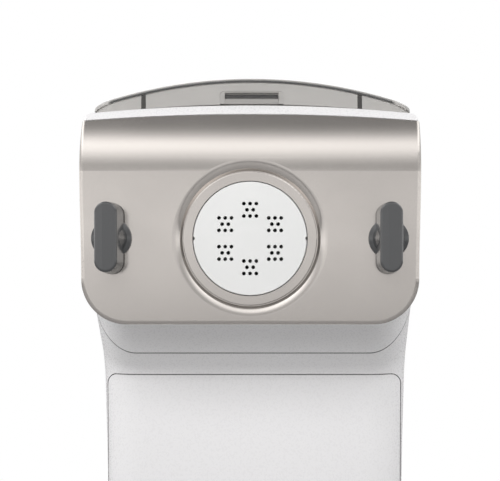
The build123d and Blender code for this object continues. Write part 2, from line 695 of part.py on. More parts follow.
def make_front_plate():
    """Steel plate across the front housing: carries the studs and locates the tube."""
    y0, y1 = FRONT_PLATE_Y, FRONT_PLATE_Y + FRONT_PLATE_T
    plate = body_block(WALL + SEAT, HOUSING_Y - AHEAD) & block(-FAR, FAR, y0, y1, 0, FAR)
    plate -= rod_y(TUBE_R + SLIP, y0 - 1, y1 + 1)
    for x in (-KNOB_X, KNOB_X):
        plate -= rod_y(STUD_R + RUN / 2, y0 - 1, y1 + 1, x)
    return plate


def make_studs():
    """Two threaded studs, riveted through the front plate, that take the wing knobs."""
    y0, y1 = FRONT_PLATE_Y, FRONT_PLATE_Y + FRONT_PLATE_T
    studs = []
    for x in (-KNOB_X, KNOB_X):
        stud = rod_y(STUD_R, y0 - STUD_L, y1 + STUD_HEAD_T, x)
        stud = chamfer(stud.edges().sort_by(Axis.Y)[0], STUD_R / 5)
        stud += rod_y(STUD_R * 1.8, y0 - STUD_HEAD_T, y0, x)
        stud += rod_y(STUD_R * 1.6, y1, y1 + STUD_HEAD_T, x)
        studs.append(stud.solids()[0])
    return Compound(children=studs)


# ================================================================ front panel pieces
def ring_dish():
    """The fascia's centre: a flat ring that stands in a groove, pressed from the sheet."""
    front = dish_outline(0.0)
    back = dish_outline(SHEET)
    outline = front + [Line(front[-1] @ 1, back[-1] @ 1)] + back + [Line(front[0] @ 0, back[0] @ 0)]
    return Pos(0, 0, AXIS_Z) * revolve(make_face(Wire(outline)), Axis.Y)


def dish_outline(depth):
    """Half section of the ring and its groove, from the hole outwards, depth behind the face."""
    face = PANEL_Y + depth
    step, edge = BOSS_R - depth, max(BOSS_EDGE_R - depth, 0.1)
    roll_r = cove_radius() - depth
    centre_y = PANEL_Y + cove_radius()
    turn = math.asin((DISH_R - BOSS_R - BOSS_EDGE_R) / cove_radius())
    foot = (DISH_R - roll_r * math.sin(turn), centre_y - roll_r * math.cos(turn), 0)
    middle = (
        DISH_R - roll_r * math.sin(turn / 2),
        centre_y - roll_r * math.cos(turn / 2),
        0,
    )
    top, low = face - BOSS_H, face + DISH_D
    shift = edge * (1 - math.sqrt(0.5))
    return [
        Line((DISC_R + DISC_GAP, top, 0), (step - edge, top, 0)),
        ThreePointArc((step - edge, top, 0), (step - shift, top + shift, 0), (step, top + edge, 0)),
        Line((step, top + edge, 0), (step, low, 0)),
        Line((step, low, 0), foot),
        ThreePointArc(foot, middle, (DISH_R, face, 0)),
        Line((DISH_R, face, 0), (DISH_R + 1, face, 0)),
    ]


def cove_radius():
    """Radius of the bend that rolls from the flat into the groove."""
    run = DISH_R - BOSS_R - BOSS_EDGE_R
    return (run**2 + DISH_D**2) / (2 * DISH_D)


def make_front_fascia():
    """Pressed metal front: flat face, rolled top, returned edges, grooved centre."""
    sheet = panel_block(0.0) - panel_block(SHEET)
    sheet &= block(-FAR, FAR, -FAR, PANEL_Y + RETURN_D, 0, FAR)
    sheet &= under_arch(FASCIA_TOP_Z, FASCIA_TOP_R)
    sheet -= rod_y(DISH_R + 1, PANEL_Y - 5, PANEL_Y + 5)
    sheet += ring_dish()
    for x in (-KNOB_X, KNOB_X):
        sheet -= rod_y(NECK_R + SLIP, PANEL_Y - 5, PANEL_Y + 5, x)
    return sheet


def make_panel_frame():
    """White moulding behind the fascia: rim, web, hub round the tube and bosses for the knobs."""
    step_y = PANEL_Y + RETURN_D + SEAM
    back_y = HOUSING_Y - SLIP
    core = panel_block(SHEET + SEAT)
    rim = panel_block(FRAME_STEP) & block(-FAR, FAR, step_y, FAR, 0, FAR)
    visible = panel_block(FRAME_STEP) - under_arch(FASCIA_TOP_Z + SEAM, FASCIA_TOP_R)
    frame = core + rim + visible
    frame &= block(-FAR, FAR, -FAR, back_y, 0, FAR)
    frame -= panel_block(SHEET + SEAT + FRAME_T)
    frame = round_shoulders(frame)
    hub_in = TUBE_R + SLIP
    hub_out = hub_in + FRAME_T
    flange_y = FRONT_PLATE_Y - TUBE_FLANGE_T - 2 * SLIP
    web_y = PANEL_Y + SHEET + SEAT
    pad_back = PANEL_Y + DISC_BACK - DISC_FLANGE_T - SLIP
    frame += ring_y(DISH_R + FRAME_T, hub_in, web_y, pad_back) & core
    frame += ring_y(hub_out, hub_in, web_y, flange_y)
    frame -= dish_relief()
    frame -= rod_y(DISC_R + DISC_GAP, web_y - 5, pad_back + 1)
    frame -= rod_y(hub_in, pad_back, back_y + 1)
    rib_low, rib_high = AXIS_Z - RIB_T / 2, AXIS_Z + RIB_T / 2
    for side in (-1, 1):
        x = side * KNOB_X
        frame += rod_y(NECK_R + SLIP + FRAME_T, web_y, back_y - STUD_R, x)
        frame -= rod_y(NECK_R + SLIP, web_y - 5, back_y + 1, x)
        inner, outer = sorted((side * (hub_out - 1), side * (KNOB_X - NECK_R - 2)))
        frame += block(inner, outer, pad_back - 1, back_y - 2 * FRAME_T, rib_low, rib_high)
    return frame


def dish_relief():
    """Room in the frame for the back of the fascia's groove."""
    inner, outer = BOSS_R - SHEET - SEAT, DISH_R + 1 + SEAT
    ahead, back = PANEL_Y - 5, PANEL_Y + SHEET + SEAT
    bend = BOSS_R + BOSS_EDGE_R + SHEET
    floor = back + DISH_D
    return turned_y([(inner, ahead), (inner, floor), (bend, floor), (outer, back), (outer, ahead)])


def round_shoulders(frame):
    """Trims the frame's two top corners to the rounded shoulder of the rim."""
    face = round_top(panel_outline(FRAME_STEP), SHOULDER_R)
    return frame & front_cut(face, PANEL_Y - 5, HOUSING_Y + 5)


def make_knob(side):
    """Wing knob: a long grip with a ridge along its face, on a flared hub and a round flange."""
    x = side * KNOB_X
    flange_y1 = PANEL_Y - KNOB_GAP
    flange_y0 = flange_y1 - KNOB_FLANGE_T
    knob = knob_grip(x, flange_y0) + knob_flange(x, flange_y0, flange_y1)
    neck_y1 = FRONT_PLATE_Y - INSERT_END
    knob += rod_y(NECK_R, flange_y1 - 1, neck_y1, x)
    return knob - rod_y(INSERT_R + PRESS, FRONT_PLATE_Y - STUD_L - 1, neck_y1 + 1, x)


def knob_grip(x, foot_y):
    """The wing that the fingers turn: two shallow slopes either side of its ridge."""
    face = SlotOverall(GRIP_L, GRIP_W, rotation=90)
    grip = extrude(Plane.XZ.offset(-FRONT_Y) * face, -(foot_y - FRONT_Y), taper=-GRIP_DRAFT)
    for lean in (-1, 1):
        ridge = Pos(-GRIP_RIDGE, FRONT_Y, 0) * Rot(0, 0, lean * GRIP_FALL)
        grip -= ridge * Pos(lean * FAR / 2, -5, 0) * Box(FAR, 10, 3 * GRIP_L)
    ridge_at = -GRIP_RIDGE
    ends = [e for e in grip.edges() if e.center().Y < FRONT_Y + 1.5]
    outer = [e for e in ends if abs(e.center().X - ridge_at) > 0.1 or e.length < GRIP_L / 2]
    return Pos(x, 0, AXIS_Z) * fillet(outer, GRIP_EDGE_R)


def knob_flange(x, y0, y1):
    """Round foot of the knob, with the hub that flares into it."""
    rim_y = y0 + KNOB_FLANGE_T / 3
    outline = [(0, y1), (KNOB_FLANGE_R, y1), (KNOB_FLANGE_R, rim_y), (KNOB_HUB_R1, y0), (0, y0)]
    flange = turned_y(outline, x)
    edge = [e for e in flange.edges() if abs(e.center().Y - rim_y) < 0.01 and e.length > KNOB_FLANGE_R]
    flange = fillet(edge, KNOB_FLANGE_T / 5)
    top = FRONT_Y + GRIP_EDGE_R
    hub = [(0, y0 + 1), (KNOB_HUB_R1, y0 + 1), (KNOB_HUB_R1, y0), (KNOB_HUB_R0, top), (0, top)]
    return flange + turned_y(hub, x)


def make_insert(side):
    """Brass thread insert in the knob's neck."""
    y0, y1 = FRONT_PLATE_Y - STUD_L - 1, FRONT_PLATE_Y - INSERT_END
    return ring_y(INSERT_R, STUD_R + RUN, y0, y1, side * KNOB_X)


# ================================================================ mixing chamber and extruder
def tangent_point(px, pz, radius):
    """Where a line from (px, pz) touches the right side of a circle about the axis."""
    dz = pz - AXIS_Z
    distance = math.hypot(px, dz)
    angle = math.atan2(dz, px) - math.acos(radius / distance)
    return radius * math.cos(angle), AXIS_Z + radius * math.sin(angle)


def trough_face(radius, half, top):
    """Section of the chamber: straight sides that run into a round trough."""
    tx, tz = tangent_point(half, top, radius)
    return make_face(
        Wire(
            [
                Line((-half, top), (half, top)),
                Line((half, top), (tx, tz)),
                ThreePointArc((tx, tz), (0, AXIS_Z - radius), (-tx, tz)),
                Line((-tx, tz), (-half, top)),
            ]
        )
    )


def make_mixing_chamber():
    """Clear basin with a round trough, open at the top, holed for the tube and the shaft."""
    wall, top = CHAMBER_WALL, CHAMBER_TOP_Z
    outer = trough_face(TROUGH_R + wall, CHAMBER_HALF + wall, top)
    inner = trough_face(TROUGH_R, CHAMBER_HALF, top)
    basin = front_cut(outer, CHAMBER_Y0, CHAMBER_Y1)
    basin -= front_cut(inner, CHAMBER_Y0 + wall, CHAMBER_Y1 - wall)
    basin -= rod_y(TUBE_R + SEAT, CHAMBER_Y0 - 1, CHAMBER_Y0 + wall + 1)
    basin -= rod_y(SHAFT_R + SEAL_T, CHAMBER_Y1 - wall - 1, CHAMBER_Y1 + 1)
    return basin


def make_shaft_seal():
    """Rubber lip seal where the shaft enters the chamber."""
    y0, y1 = CHAMBER_Y1 - CHAMBER_WALL, CHAMBER_Y1
    return ring_y(SHAFT_R + SEAL_T - PRESS, SHAFT_R + RUN, y0, y1)


def make_extrusion_tube():
    """Barrel round the screw: flange at the front plate, open on top inside the chamber."""
    front = PANEL_Y + DISC_BACK
    tube = rod_y(TUBE_R, front, TUBE_END_Y)
    tube += rod_y(TUBE_FLANGE_R, FRONT_PLATE_Y - TUBE_FLANGE_T, FRONT_PLATE_Y)
    tube -= rod_y(TUBE_BORE_R, front - 1, TUBE_END_Y + 1)
    return tube - block(-FAR, FAR, FEED_Y, TUBE_END_Y + 1, AXIS_Z + FEED_Z, FAR)


def hole_places():
    """Clusters of strand holes, each in rows of three, two and three."""
    places = []
    for i in range(CLUSTERS):
        angle = 2 * math.pi * (i + 0.5) / CLUSTERS
        cx, cz = CLUSTER_R * math.cos(angle), CLUSTER_R * math.sin(angle)
        for row, count in ((1, 3), (0, 2), (-1, 3)):
            for k in range(count):
                places.append((cx + (k - (count - 1) / 2) * HOLE_PITCH, cz + row * HOLE_PITCH))
    return places


def make_shaping_disc():
    """White disc for round strands: a face that fills the panel's ring, on a clamped flange."""
    front, back = PANEL_Y - BOSS_H + DISC_SET, PANEL_Y + DISC_BACK
    flange_y = back - DISC_FLANGE_T
    disc = rod_y(DISC_R, front, back)
    disc = fillet(disc.edges().sort_by(Axis.Y)[0], 2 * DISC_SET)
    disc += rod_y(DISC_FLANGE_R, flange_y, back)
    disc -= rod_y(TUBE_BORE_R - DISC_FLANGE_T, flange_y, back + 1)
    for x, z in hole_places():
        disc -= rod_y(HOLE_R, front - 1, back + 1, x, AXIS_Z + z)
    for x in (-DISC_R, DISC_R):
        disc -= rod_y(NOTCH_R, front - 1, flange_y, x)
    return disc


def make_extrusion_screw():
    """Feed screw: a core with one deep helical flight."""
    y0 = PANEL_Y + DISC_BACK + SCREW_GAP
    flight_y1 = TUBE_END_Y + 4
    flight = twisted(sector(SCREW_CORE_R - 2, SCREW_R, SCREW_BLADE_DEG / 2), flight_y1, y0,
                     360 * SCREW_TURNS)
    core = rod_y(SCREW_CORE_R, y0, HUB_Y0 - 1)
    core = chamfer(core.edges().sort_by(Axis.Y)[0], SCREW_CORE_R / 3)
    return core + flight - rod_y(SHAFT_R + RUN / 2, SHAFT_Y0 - 0.5, HUB_Y0)


def sector(inner, outer, half_deg, turn_deg=0.0):
    """Part of a ring about the axis, half_deg either side of the direction turn_deg from up."""
    half, turn = math.radians(half_deg), math.radians(turn_deg)

    def spot(radius, angle):
        """A point at a radius, at an angle from straight up."""
        return radius * math.sin(angle), radius * math.cos(angle)

    wire = Wire(
        [
            Line(spot(inner, turn - half), spot(outer, turn - half)),
            ThreePointArc(spot(outer, turn - half), spot(outer, turn), spot(outer, turn + half)),
            Line(spot(outer, turn + half), spot(inner, turn + half)),
            Line(spot(inner, turn + half), spot(inner, turn - half)),
        ]
    )
    return make_face(wire)


def twisted(face, y_start, y_end, turn_deg):
    """Extrudes a face, drawn about the axis, along Y while it turns."""
    start = (0, y_start, AXIS_Z)
    place = Plane(start, x_dir=(1, 0, 0), z_dir=(0, -1, 0))
    section = (place * face).faces()[0]
    return Solid.extrude_linear_with_rotation(section, start, (0, y_end - y_start, 0), turn_deg)


def make_mixing_paddle():
    """Gate paddle: a hub, two arms at each end, and two twisted bars that sweep the trough."""
    paddle = rod_y(HUB_R, HUB_Y0, HUB_Y1)
    low, high = HUB_Y0 + 1, HUB_Y1 - 1
    arm = block(-ARM_T, ARM_T, -ARM_T / 2, ARM_T / 2, HUB_R - 2, BLADE_R0 + 3)
    for turn in (0, 180):
        paddle += twisted(sector(BLADE_R0, BLADE_R1, BLADE_DEG, turn), high, low, BLADE_TWIST)
        for y, angle in ((high - ARM_T / 2, turn), (low + ARM_T / 2, turn + BLADE_TWIST)):
            paddle += Pos(0, y, AXIS_Z) * Rot(0, angle, 0) * arm
    return paddle - rod_y(SHAFT_R + RUN / 2, HUB_Y0 - 1, HUB_Y1 + 1)


# ================================================================ lid
def lid_form(inset):
    """The lid's outer form moved inwards by inset, open through its underside."""
    half = LID_HALF - inset
    face = arch_face(HEIGHT - inset, LID_ARCH_R - inset, RIM_Z - 4 * WALL, half)
    form = front_cut(face, LID_Y0 + inset, LID_Y1 - inset)
    form &= plan_slab(half, LID_Y0 + inset, LID_Y1 - inset, 0, FAR, LID_CORNER_R - inset)
    crest = arch_z(HEIGHT - inset, LID_ARCH_R - inset, half)
    rim = [e for e in form.edges() if e.center().Z > crest - 0.1]
    return fillet(rim, LID_EDGE_R)


def make_lid_shell():
    """Smoked clear lid: low crowned shell, skirt down into the chamber, hinge arms, liquid slot."""
    shell = lid_form(0.0) - lid_form(LID_WALL)
    shell -= lid_overhang()
    skirt = plan_slab(SKIRT_HALF, SKIRT_Y0, SKIRT_Y1, SKIRT_Z, FAR, SKIRT_CORNER_R)
    skirt -= plan_slab(
        SKIRT_HALF - SKIRT_T,
        SKIRT_Y0 + SKIRT_T,
        SKIRT_Y1 - SKIRT_T,
        0,
        FAR,
        SKIRT_CORNER_R - SKIRT_T,
    )
    skirt &= lid_form(LID_WALL / 2) + block(-LID_HALF, LID_HALF, LID_Y0, LID_Y1, 0, RIM_Z - WALL)
    shell -= under_arch(RIM_Z + SLIP, RIM_R)
    shell += skirt
    shell -= latch_slab(SEAT, LID_Y0 - 1, LID_Y0 + LID_WALL + 1)
    slot = Pos(INLET_X, (LID_Y0 + LID_Y1) / 2) * SlotOverall(INLET_L, INLET_W, rotation=90)
    shell -= extrude(Pos(0, 0, RIM_Z) * slot, FAR)
    low, high = HINGE_Z - ARM_H / 2, HINGE_Z + ARM_H / 2
    for x in (-HINGE_X, HINGE_X):
        x0, x1 = x - KNUCKLE_W / 2, x + KNUCKLE_W / 2
        shell += block(x0, x1, LID_Y1 - LID_WALL, HINGE_Y, low, high)
        shell += rod_x(KNUCKLE_R, x0, x1, HINGE_Y, HINGE_Z)
        shell -= rod_x(PIN_R + RUN, x0 - 1, x1 + 1, HINGE_Y, HINGE_Z)
    return shell


def lid_overhang():
    """What is cut from the lid's front and sides so that its crown stands out over them."""
    outside = block(-FAR, FAR, LID_Y0 - 1, LID_Y1 - 2 * LID_CORNER_R, 0, FAR)
    outside -= plan_slab(LID_HALF - LID_LIP, LID_Y0 + LID_LIP, LID_Y1 + FAR, -1, FAR + 1, LID_CORNER_R)
    return outside & under_arch(HEIGHT - LID_LIP_T, LID_ARCH_R - LID_LIP_T)


def latch_slab(gap, y0, y1):
    """The latch's outline as a cutter, widened by gap: round at its two top corners."""
    half, top = LATCH_HALF + gap, RIM_Z + LATCH_TOP + gap
    face = Pos(0, (RIM_Z + top) / 2) * Rectangle(2 * half, top - RIM_Z)
    return front_cut(round_top(face, LATCH_CORNER_R + gap), y0, y1)


def make_lid_latch():
    """Finger latch in the lid's front: a frame round a shadow gap and a lip over a scoop."""
    low, top = RIM_Z + 2 * SLIP, RIM_Z + LATCH_TOP
    wall_y = LID_Y0 + LID_LIP
    back_y = wall_y + LATCH_D
    latch = latch_slab(0, wall_y, back_y) & block(-FAR, FAR, -FAR, FAR, low, FAR)
    lip_top, lip_low = top - LATCH_TOP / 4, top - LATCH_TOP / 2
    scoop = side_cut(
        Line((wall_y - 1, top - LATCH_LEG / 4), (wall_y + LATCH_PROUD, top - LATCH_LEG / 4)),
        Line((wall_y + LATCH_PROUD, top - LATCH_LEG / 4), (wall_y + LATCH_PROUD, low - 1)),
        Line((wall_y + LATCH_PROUD, low - 1), (wall_y - 1, low - 1)),
        Line((wall_y - 1, low - 1), (wall_y - 1, top - LATCH_LEG / 4)),
        half=LATCH_HALF - LATCH_LEG,
    )
    nose = (wall_y - LATCH_PROUD, (lip_top + lip_low) / 2)
    lip = side_cut(
        Line((wall_y + LATCH_D / 2, lip_top), (wall_y - LATCH_PROUD / 2, lip_top)),
        Line((wall_y - LATCH_PROUD / 2, lip_top), nose),
        Line(nose, (wall_y - LATCH_PROUD / 2, lip_low)),
        Line((wall_y - LATCH_PROUD / 2, lip_low), (wall_y + LATCH_PROUD / 2, low)),
        Line((wall_y + LATCH_PROUD / 2, low), (wall_y + LATCH_D / 2, low)),
        Line((wall_y + LATCH_D / 2, low), (wall_y + LATCH_D / 2, lip_top)),
        half=LATCH_HALF - LATCH_LEG - SLIP,
    )
    return latch - scoop + lip


def make_hinge_pins():
    """Two steel pins through the deck's ears and the lid's knuckles."""
    reach = KNUCKLE_W / 2 + SLIP + EAR_T
    pins = [
        rod_x(PIN_R, side * HINGE_X - reach, side * HINGE_X + reach, HINGE_Y, HINGE_Z)
        for side in (-1, 1)
    ]
    return Compound(children=[p.solids()[0] for p in pins])


# ================================================================ drawer
def make_drawer_front(shell_base):
    """Front of the drawer: the whole lower front of the base, wrapped round its corners."""
    front = shell_base & drawer_mouth(0.0)
    top = TRAY_Z0 + TRAY_H - 2 * SCOOP_R
    for side in (-1, 1):
        x0, x1 = sorted((side * TRAY_HALF / 3, side * TRAY_HALF * 2 / 3))
        front += block(x0, x1, BASE_Y + WALL / 2, TRAY_Y0, TRAY_Z0, top)
    return front - rod_x(SCOOP_R, -SCOOP_HALF, SCOOP_HALF, BASE_Y - 1, FOOT_H + PLATE_T)


def make_drawer_tray():
    """Open tray with upright slots that keep the discs apart."""
    tray = block(-TRAY_HALF, TRAY_HALF, TRAY_Y0, TRAY_Y1, TRAY_Z0, TRAY_Z0 + TRAY_H)
    inner = TRAY_HALF - TRAY_T
    tray -= block(-inner, inner, TRAY_Y0 + TRAY_T, TRAY_Y1 - TRAY_T, TRAY_Z0 + TRAY_T, FAR)
    step = TRAY_L / (DIVIDERS + 1)
    for i in range(1, DIVIDERS + 1):
        y0 = TRAY_Y0 + i * step - TRAY_T / 2
        for side in (-1, 1):
            x0, x1 = sorted((side * (inner + TRAY_T / 4), side * inner * 0.62))
            tray += block(x0, x1, y0, y0 + TRAY_T, TRAY_Z0 + TRAY_T / 2, TRAY_Z0 + DIVIDER_H)
    return tray


def make_drawer_rails():
    """Two angle rails on the base plate that carry and guide the tray."""
    floor, top = FOOT_H + PLATE_T, TRAY_Z0 - SLIP
    y0 = TRAY_Y0 + RAIL_BACK
    rails = []
    for side in (-1, 1):
        outside = side * (TRAY_HALF + RAIL_T)
        x0, x1 = sorted((side * (TRAY_HALF - RAIL_LEDGE), outside))
        rail = block(x0, x1, y0, TRAY_Y1, floor, top)
        x0, x1 = sorted((side * (TRAY_HALF + SLIP), outside))
        rail += block(x0, x1, y0, TRAY_Y1, floor, floor + RAIL_H)
        rails.append(rail.solids()[0])
    return Compound(children=rails)


# ================================================================ chassis
def make_cradle():
    """Shelf over the drawer, on side legs, with two saddles under the mixing chamber."""
    shelf = body_block(WALL + SLIP, HOUSING_Y)
    shelf &= block(-FAR, FAR, BASE_Y, CHAMBER_Y1 - 1, CRADLE_Z, CRADLE_Z + CRADLE_T)
    round_cut = rod_y(TROUGH_R + CHAMBER_WALL + SLIP, -FAR, FAR)
    for y in (SADDLE_Y0, SADDLE_Y1):
        saddle = block(-SADDLE_HALF, SADDLE_HALF, y, y + SADDLE_T, CRADLE_Z + 1, SADDLE_TOP_Z)
        shelf += saddle - round_cut
    floor = FOOT_H + PLATE_T
    for side in (-1, 1):
        x0, x1 = sorted((side * LEG_X, side * (LEG_X + CRADLE_T)))
        shelf += block(x0, x1, LEG_Y0, LEG_Y1, floor, CRADLE_Z + 1)
    return shelf


def make_gearbox_plate():
    """Steel bulkhead between the chamber and the gearbox, standing on the base plate."""
    plate = body_block(WALL + SLIP, HOUSING_Y)
    floor = FOOT_H + PLATE_T
    plate &= block(-FAR, FAR, PLATE_Y0, GEARBOX_Y, floor, FAR)
    plate += block(-LEG_X, LEG_X, PLATE_Y0, PLATE_Y0 + BULKHEAD_FOOT, floor, floor + 2)
    return plate - rod_y(SHAFT_R + BUSH_T + SEAT, PLATE_Y0 - 1, GEARBOX_Y + 1)


def gearbox_outline(extra):
    """Outline round both big gears and the motor pinion."""
    gear_r = MODULE * (GEAR_TEETH / 2 + 1) + TIP_GAP + extra
    pinion_r = MODULE * (PINION_TEETH / 2 + 1) + TIP_GAP * 2 + extra
    face = Pos(0, AXIS_Z) * Circle(gear_r) + Pos(0, LAY_Z) * Circle(gear_r)
    face += Pos(0, (AXIS_Z + LAY_Z) / 2) * Rectangle(2 * gear_r, AXIS_Z - LAY_Z)
    face += Pos(0, MOTOR_Z) * Circle(pinion_r)
    return face + Pos(0, (LAY_Z + MOTOR_Z) / 2) * Rectangle(2 * pinion_r, LAY_Z - MOTOR_Z)


def make_gearbox_cover():
    """Front half of the gearbox, flat against the bulkhead."""
    cover = front_cut(gearbox_outline(CASE_T), GEARBOX_Y, GEARBOX_Y + COVER_T)
    end = GEARBOX_Y + COVER_T + 1
    cover -= rod_y(SHAFT_R + BUSH_T + PRESS, GEARBOX_Y - 1, end)
    return cover - rod_y(LAY_R + BUSH_T + PRESS, GEARBOX_Y + 1, end, 0, LAY_Z)


def make_gearbox_case():
    """Rear half of the gearbox: a deep case that carries the rear bushes and the motor."""
    y0, y1 = GEARBOX_Y + COVER_T, GEARBOX_Y1
    case = front_cut(gearbox_outline(CASE_T), y0, y1)
    case -= front_cut(gearbox_outline(0.0), y0 - 1, y1 - COVER_T)
    case -= rod_y(SHAFT_R + BUSH_T + PRESS, y1 - 2 * COVER_T, y1 - 0.5)
    case -= rod_y(LAY_R + BUSH_T + PRESS, y1 - 2 * COVER_T, y1 - 0.5, 0, LAY_Z)
    return case - rod_y(MOTOR_SHAFT_R + 3, y0, y1 + 1, 0, MOTOR_Z)


def make_bushes():
    """Four sintered bushes: two for the output shaft, two for the layshaft."""
    rear1 = GEARBOX_Y1 - 0.5
    bushes = [
        ring_y(SHAFT_R + BUSH_T, SHAFT_R + RUN, GEARBOX_Y - 2, GEARBOX_Y + COVER_T + 1),
        ring_y(SHAFT_R + BUSH_T, SHAFT_R + RUN, rear1 - COVER_T - 2, rear1),
        ring_y(LAY_R + BUSH_T, LAY_R + RUN, GEARBOX_Y + 1, GEARBOX_Y + COVER_T + 1, 0, LAY_Z),
        ring_y(LAY_R + BUSH_T, LAY_R + RUN, rear1 - COVER_T - 1, rear1, 0, LAY_Z),
    ]
    return Compound(children=[b.solids()[0] for b in bushes])


# ================================================================ gears and motor
def involute(angle):
    """The involute function of a pressure angle in radians."""
    return math.tan(angle) - angle


def gear(teeth, y0, width, z, bore, gap_up=False):
    """A spur gear along Y with a tooth, or a gap, pointing straight up."""
    pitch_r = MODULE * teeth / 2
    base_r = pitch_r * math.cos(math.radians(PRESSURE_DEG))
    tip_r, root_r = pitch_r + MODULE, pitch_r - 1.25 * MODULE
    pitch_half = math.pi / (2 * teeth) - BACKLASH / (2 * pitch_r)

    def half_angle(radius):
        """Half the tooth's angle at a radius on its flank."""
        pressure = math.acos(min(1.0, base_r / radius))
        return pitch_half + involute(math.radians(PRESSURE_DEG)) - involute(pressure)

    start_r = max(base_r, root_r)
    flank = [start_r, pitch_r, tip_r]
    points = []
    phase = math.pi / teeth if gap_up else 0.0
    for i in range(teeth):
        middle = 2 * math.pi * i / teeth + phase
        rising = [(root_r, half_angle(start_r))] if root_r < base_r else []
        rising += [(r, half_angle(r)) for r in flank]
        for r, half in rising:
            points.append((r * math.sin(middle - half), r * math.cos(middle - half)))
        for r, half in reversed(rising):
            points.append((r * math.sin(middle + half), r * math.cos(middle + half)))
    wheel = make_face(Polyline(*points, close=True))
    body = Pos(0, 0, z) * front_cut(wheel, y0, y0 + width)
    return body - rod_y(bore, y0 - 1, y0 + width + 1, 0, z)


def make_output_shaft():
    """Shaft from the gearbox through the paddle into the screw."""
    shaft = rod_y(SHAFT_R, SHAFT_Y0, GEARBOX_Y1 - 1.0)
    return chamfer(shaft.edges().sort_by(Axis.Y)[0], 1.0)


def make_output_gear():
    """Large gear on the output shaft."""
    wheel = gear(GEAR_TEETH, STAGE2_Y0, STAGE2_W, AXIS_Z, SHAFT_R + RUN / 2)
    return lighten(wheel, STAGE2_Y0, STAGE2_W, AXIS_Z, SHAFT_R)


def lighten(wheel, y0, width, z, bore):
    """Thins the web of a large gear between its rim and its hub."""
    rim = MODULE * (GEAR_TEETH / 2 - 3.5)
    hub = bore + 5
    for low in (y0 - 1, y0 + width * 0.7):
        wheel -= ring_y(rim, hub, low, low + width * 0.3 + 1, 0, z)
    return wheel


def make_lay_gear():
    """Large gear and its pinion, moulded in one on the layshaft."""
    wheel = gear(GEAR_TEETH, STAGE1_Y0, STAGE1_W, LAY_Z, LAY_R + RUN / 2)
    wheel = lighten(wheel, STAGE1_Y0, STAGE1_W, LAY_Z, LAY_R + 4)
    pinion_y0 = STAGE2_Y0 - PINION_EXTRA
    width = STAGE1_Y0 - pinion_y0 + 0.5
    return wheel + gear(PINION_TEETH, pinion_y0, width, LAY_Z, LAY_R + RUN / 2, gap_up=True)


def make_layshaft():
    """Short shaft across the gearbox."""
    return rod_y(LAY_R, GEARBOX_Y + 1.5, GEARBOX_Y1 - 1.0, 0, LAY_Z)


def make_motor_pinion():
    """Steel pinion on the end of the motor's shaft."""
    return gear(
        PINION_TEETH,
        STAGE1_Y0 - PINION_EXTRA,
        STAGE1_W + 2 * PINION_EXTRA,
        MOTOR_Z,
        MOTOR_SHAFT_R + RUN / 2,
        gap_up=True,
    )


def make_motor_case():
    """Drawn motor can with its two bearing seats."""
    case = rod_y(MOTOR_R, GEARBOX_Y1, MOTOR_Y1, 0, MOTOR_Z)
    case -= rod_y(MOTOR_R - MOTOR_T, GEARBOX_Y1 + MOTOR_T, MOTOR_Y1 - MOTOR_T, 0, MOTOR_Z)
    case += rod_y(MOTOR_SHAFT_R * 2.2, MOTOR_Y1 - MOTOR_T, MOTOR_Y1 + 2, 0, MOTOR_Z)
    return case - rod_y(MOTOR_SHAFT_R + RUN, GEARBOX_Y1 - 1, MOTOR_Y1 + 3, 0, MOTOR_Z)


def make_motor_stator():
    """Laminated stator inside the can."""
    y0 = (GEARBOX_Y1 + MOTOR_Y1 - ROTOR_L) / 2
    y1 = y0 + ROTOR_L
    stator = ring_y(MOTOR_R - MOTOR_T - PRESS, ROTOR_R + AIR_GAP, y0, y1, 0, MOTOR_Z)
    reach = ROTOR_R + AIR_GAP + STATOR_SLOT_R / 2
    return stator - slots_y(STATOR_SLOTS, STATOR_SLOT_R, reach, y0, y1)


def slots_y(count, radius, reach, y0, y1):
    """Round winding slots about the motor's axis, as cutters."""
    turns = [2 * math.pi * (k + 0.5) / count for k in range(count)]
    places = [(reach * math.cos(turn), MOTOR_Z + reach * math.sin(turn)) for turn in turns]
    return [rod_y(radius, y0 - 1, y1 + 1, x, z) for x, z in places]


def make_motor_rotor():
    """Wound rotor core on the motor's shaft."""
    y0 = (GEARBOX_Y1 + MOTOR_Y1 - ROTOR_L) / 2
    y1 = y0 + ROTOR_L
    rotor = ring_y(ROTOR_R, MOTOR_SHAFT_R + RUN / 2, y0, y1, 0, MOTOR_Z)
    return rotor - slots_y(ROTOR_SLOTS, ROTOR_SLOT_R, ROTOR_R, y0, y1)


def make_motor_shaft():
    """Motor shaft from the pinion to the fan."""
    return rod_y(MOTOR_SHAFT_R, STAGE1_Y0 - 2, MOTOR_Y1 + FAN_T + 4, 0, MOTOR_Z)


def make_cooling_fan():
    """Radial fan behind the motor."""
    y0 = MOTOR_Y1 + 3
    y1, half = y0 + FAN_T, FAN_BLADE_T / 2
    fan = rod_y(2 * MOTOR_SHAFT_R, y0, y1, 0, MOTOR_Z)
    fan += rod_y(FAN_R, y0, y0 + FAN_BLADE_T, 0, MOTOR_Z)
    blade = block(-half, half, y0 + half, y1, 1.5 * MOTOR_SHAFT_R, FAN_R - 1)
    for k in range(FAN_BLADES):
        fan += Pos(0, 0, MOTOR_Z) * Rot(0, 360 * k / FAN_BLADES, 0) * blade
    return fan - rod_y(MOTOR_SHAFT_R + RUN / 2, y0 - 1, y1 + 1, 0, MOTOR_Z)


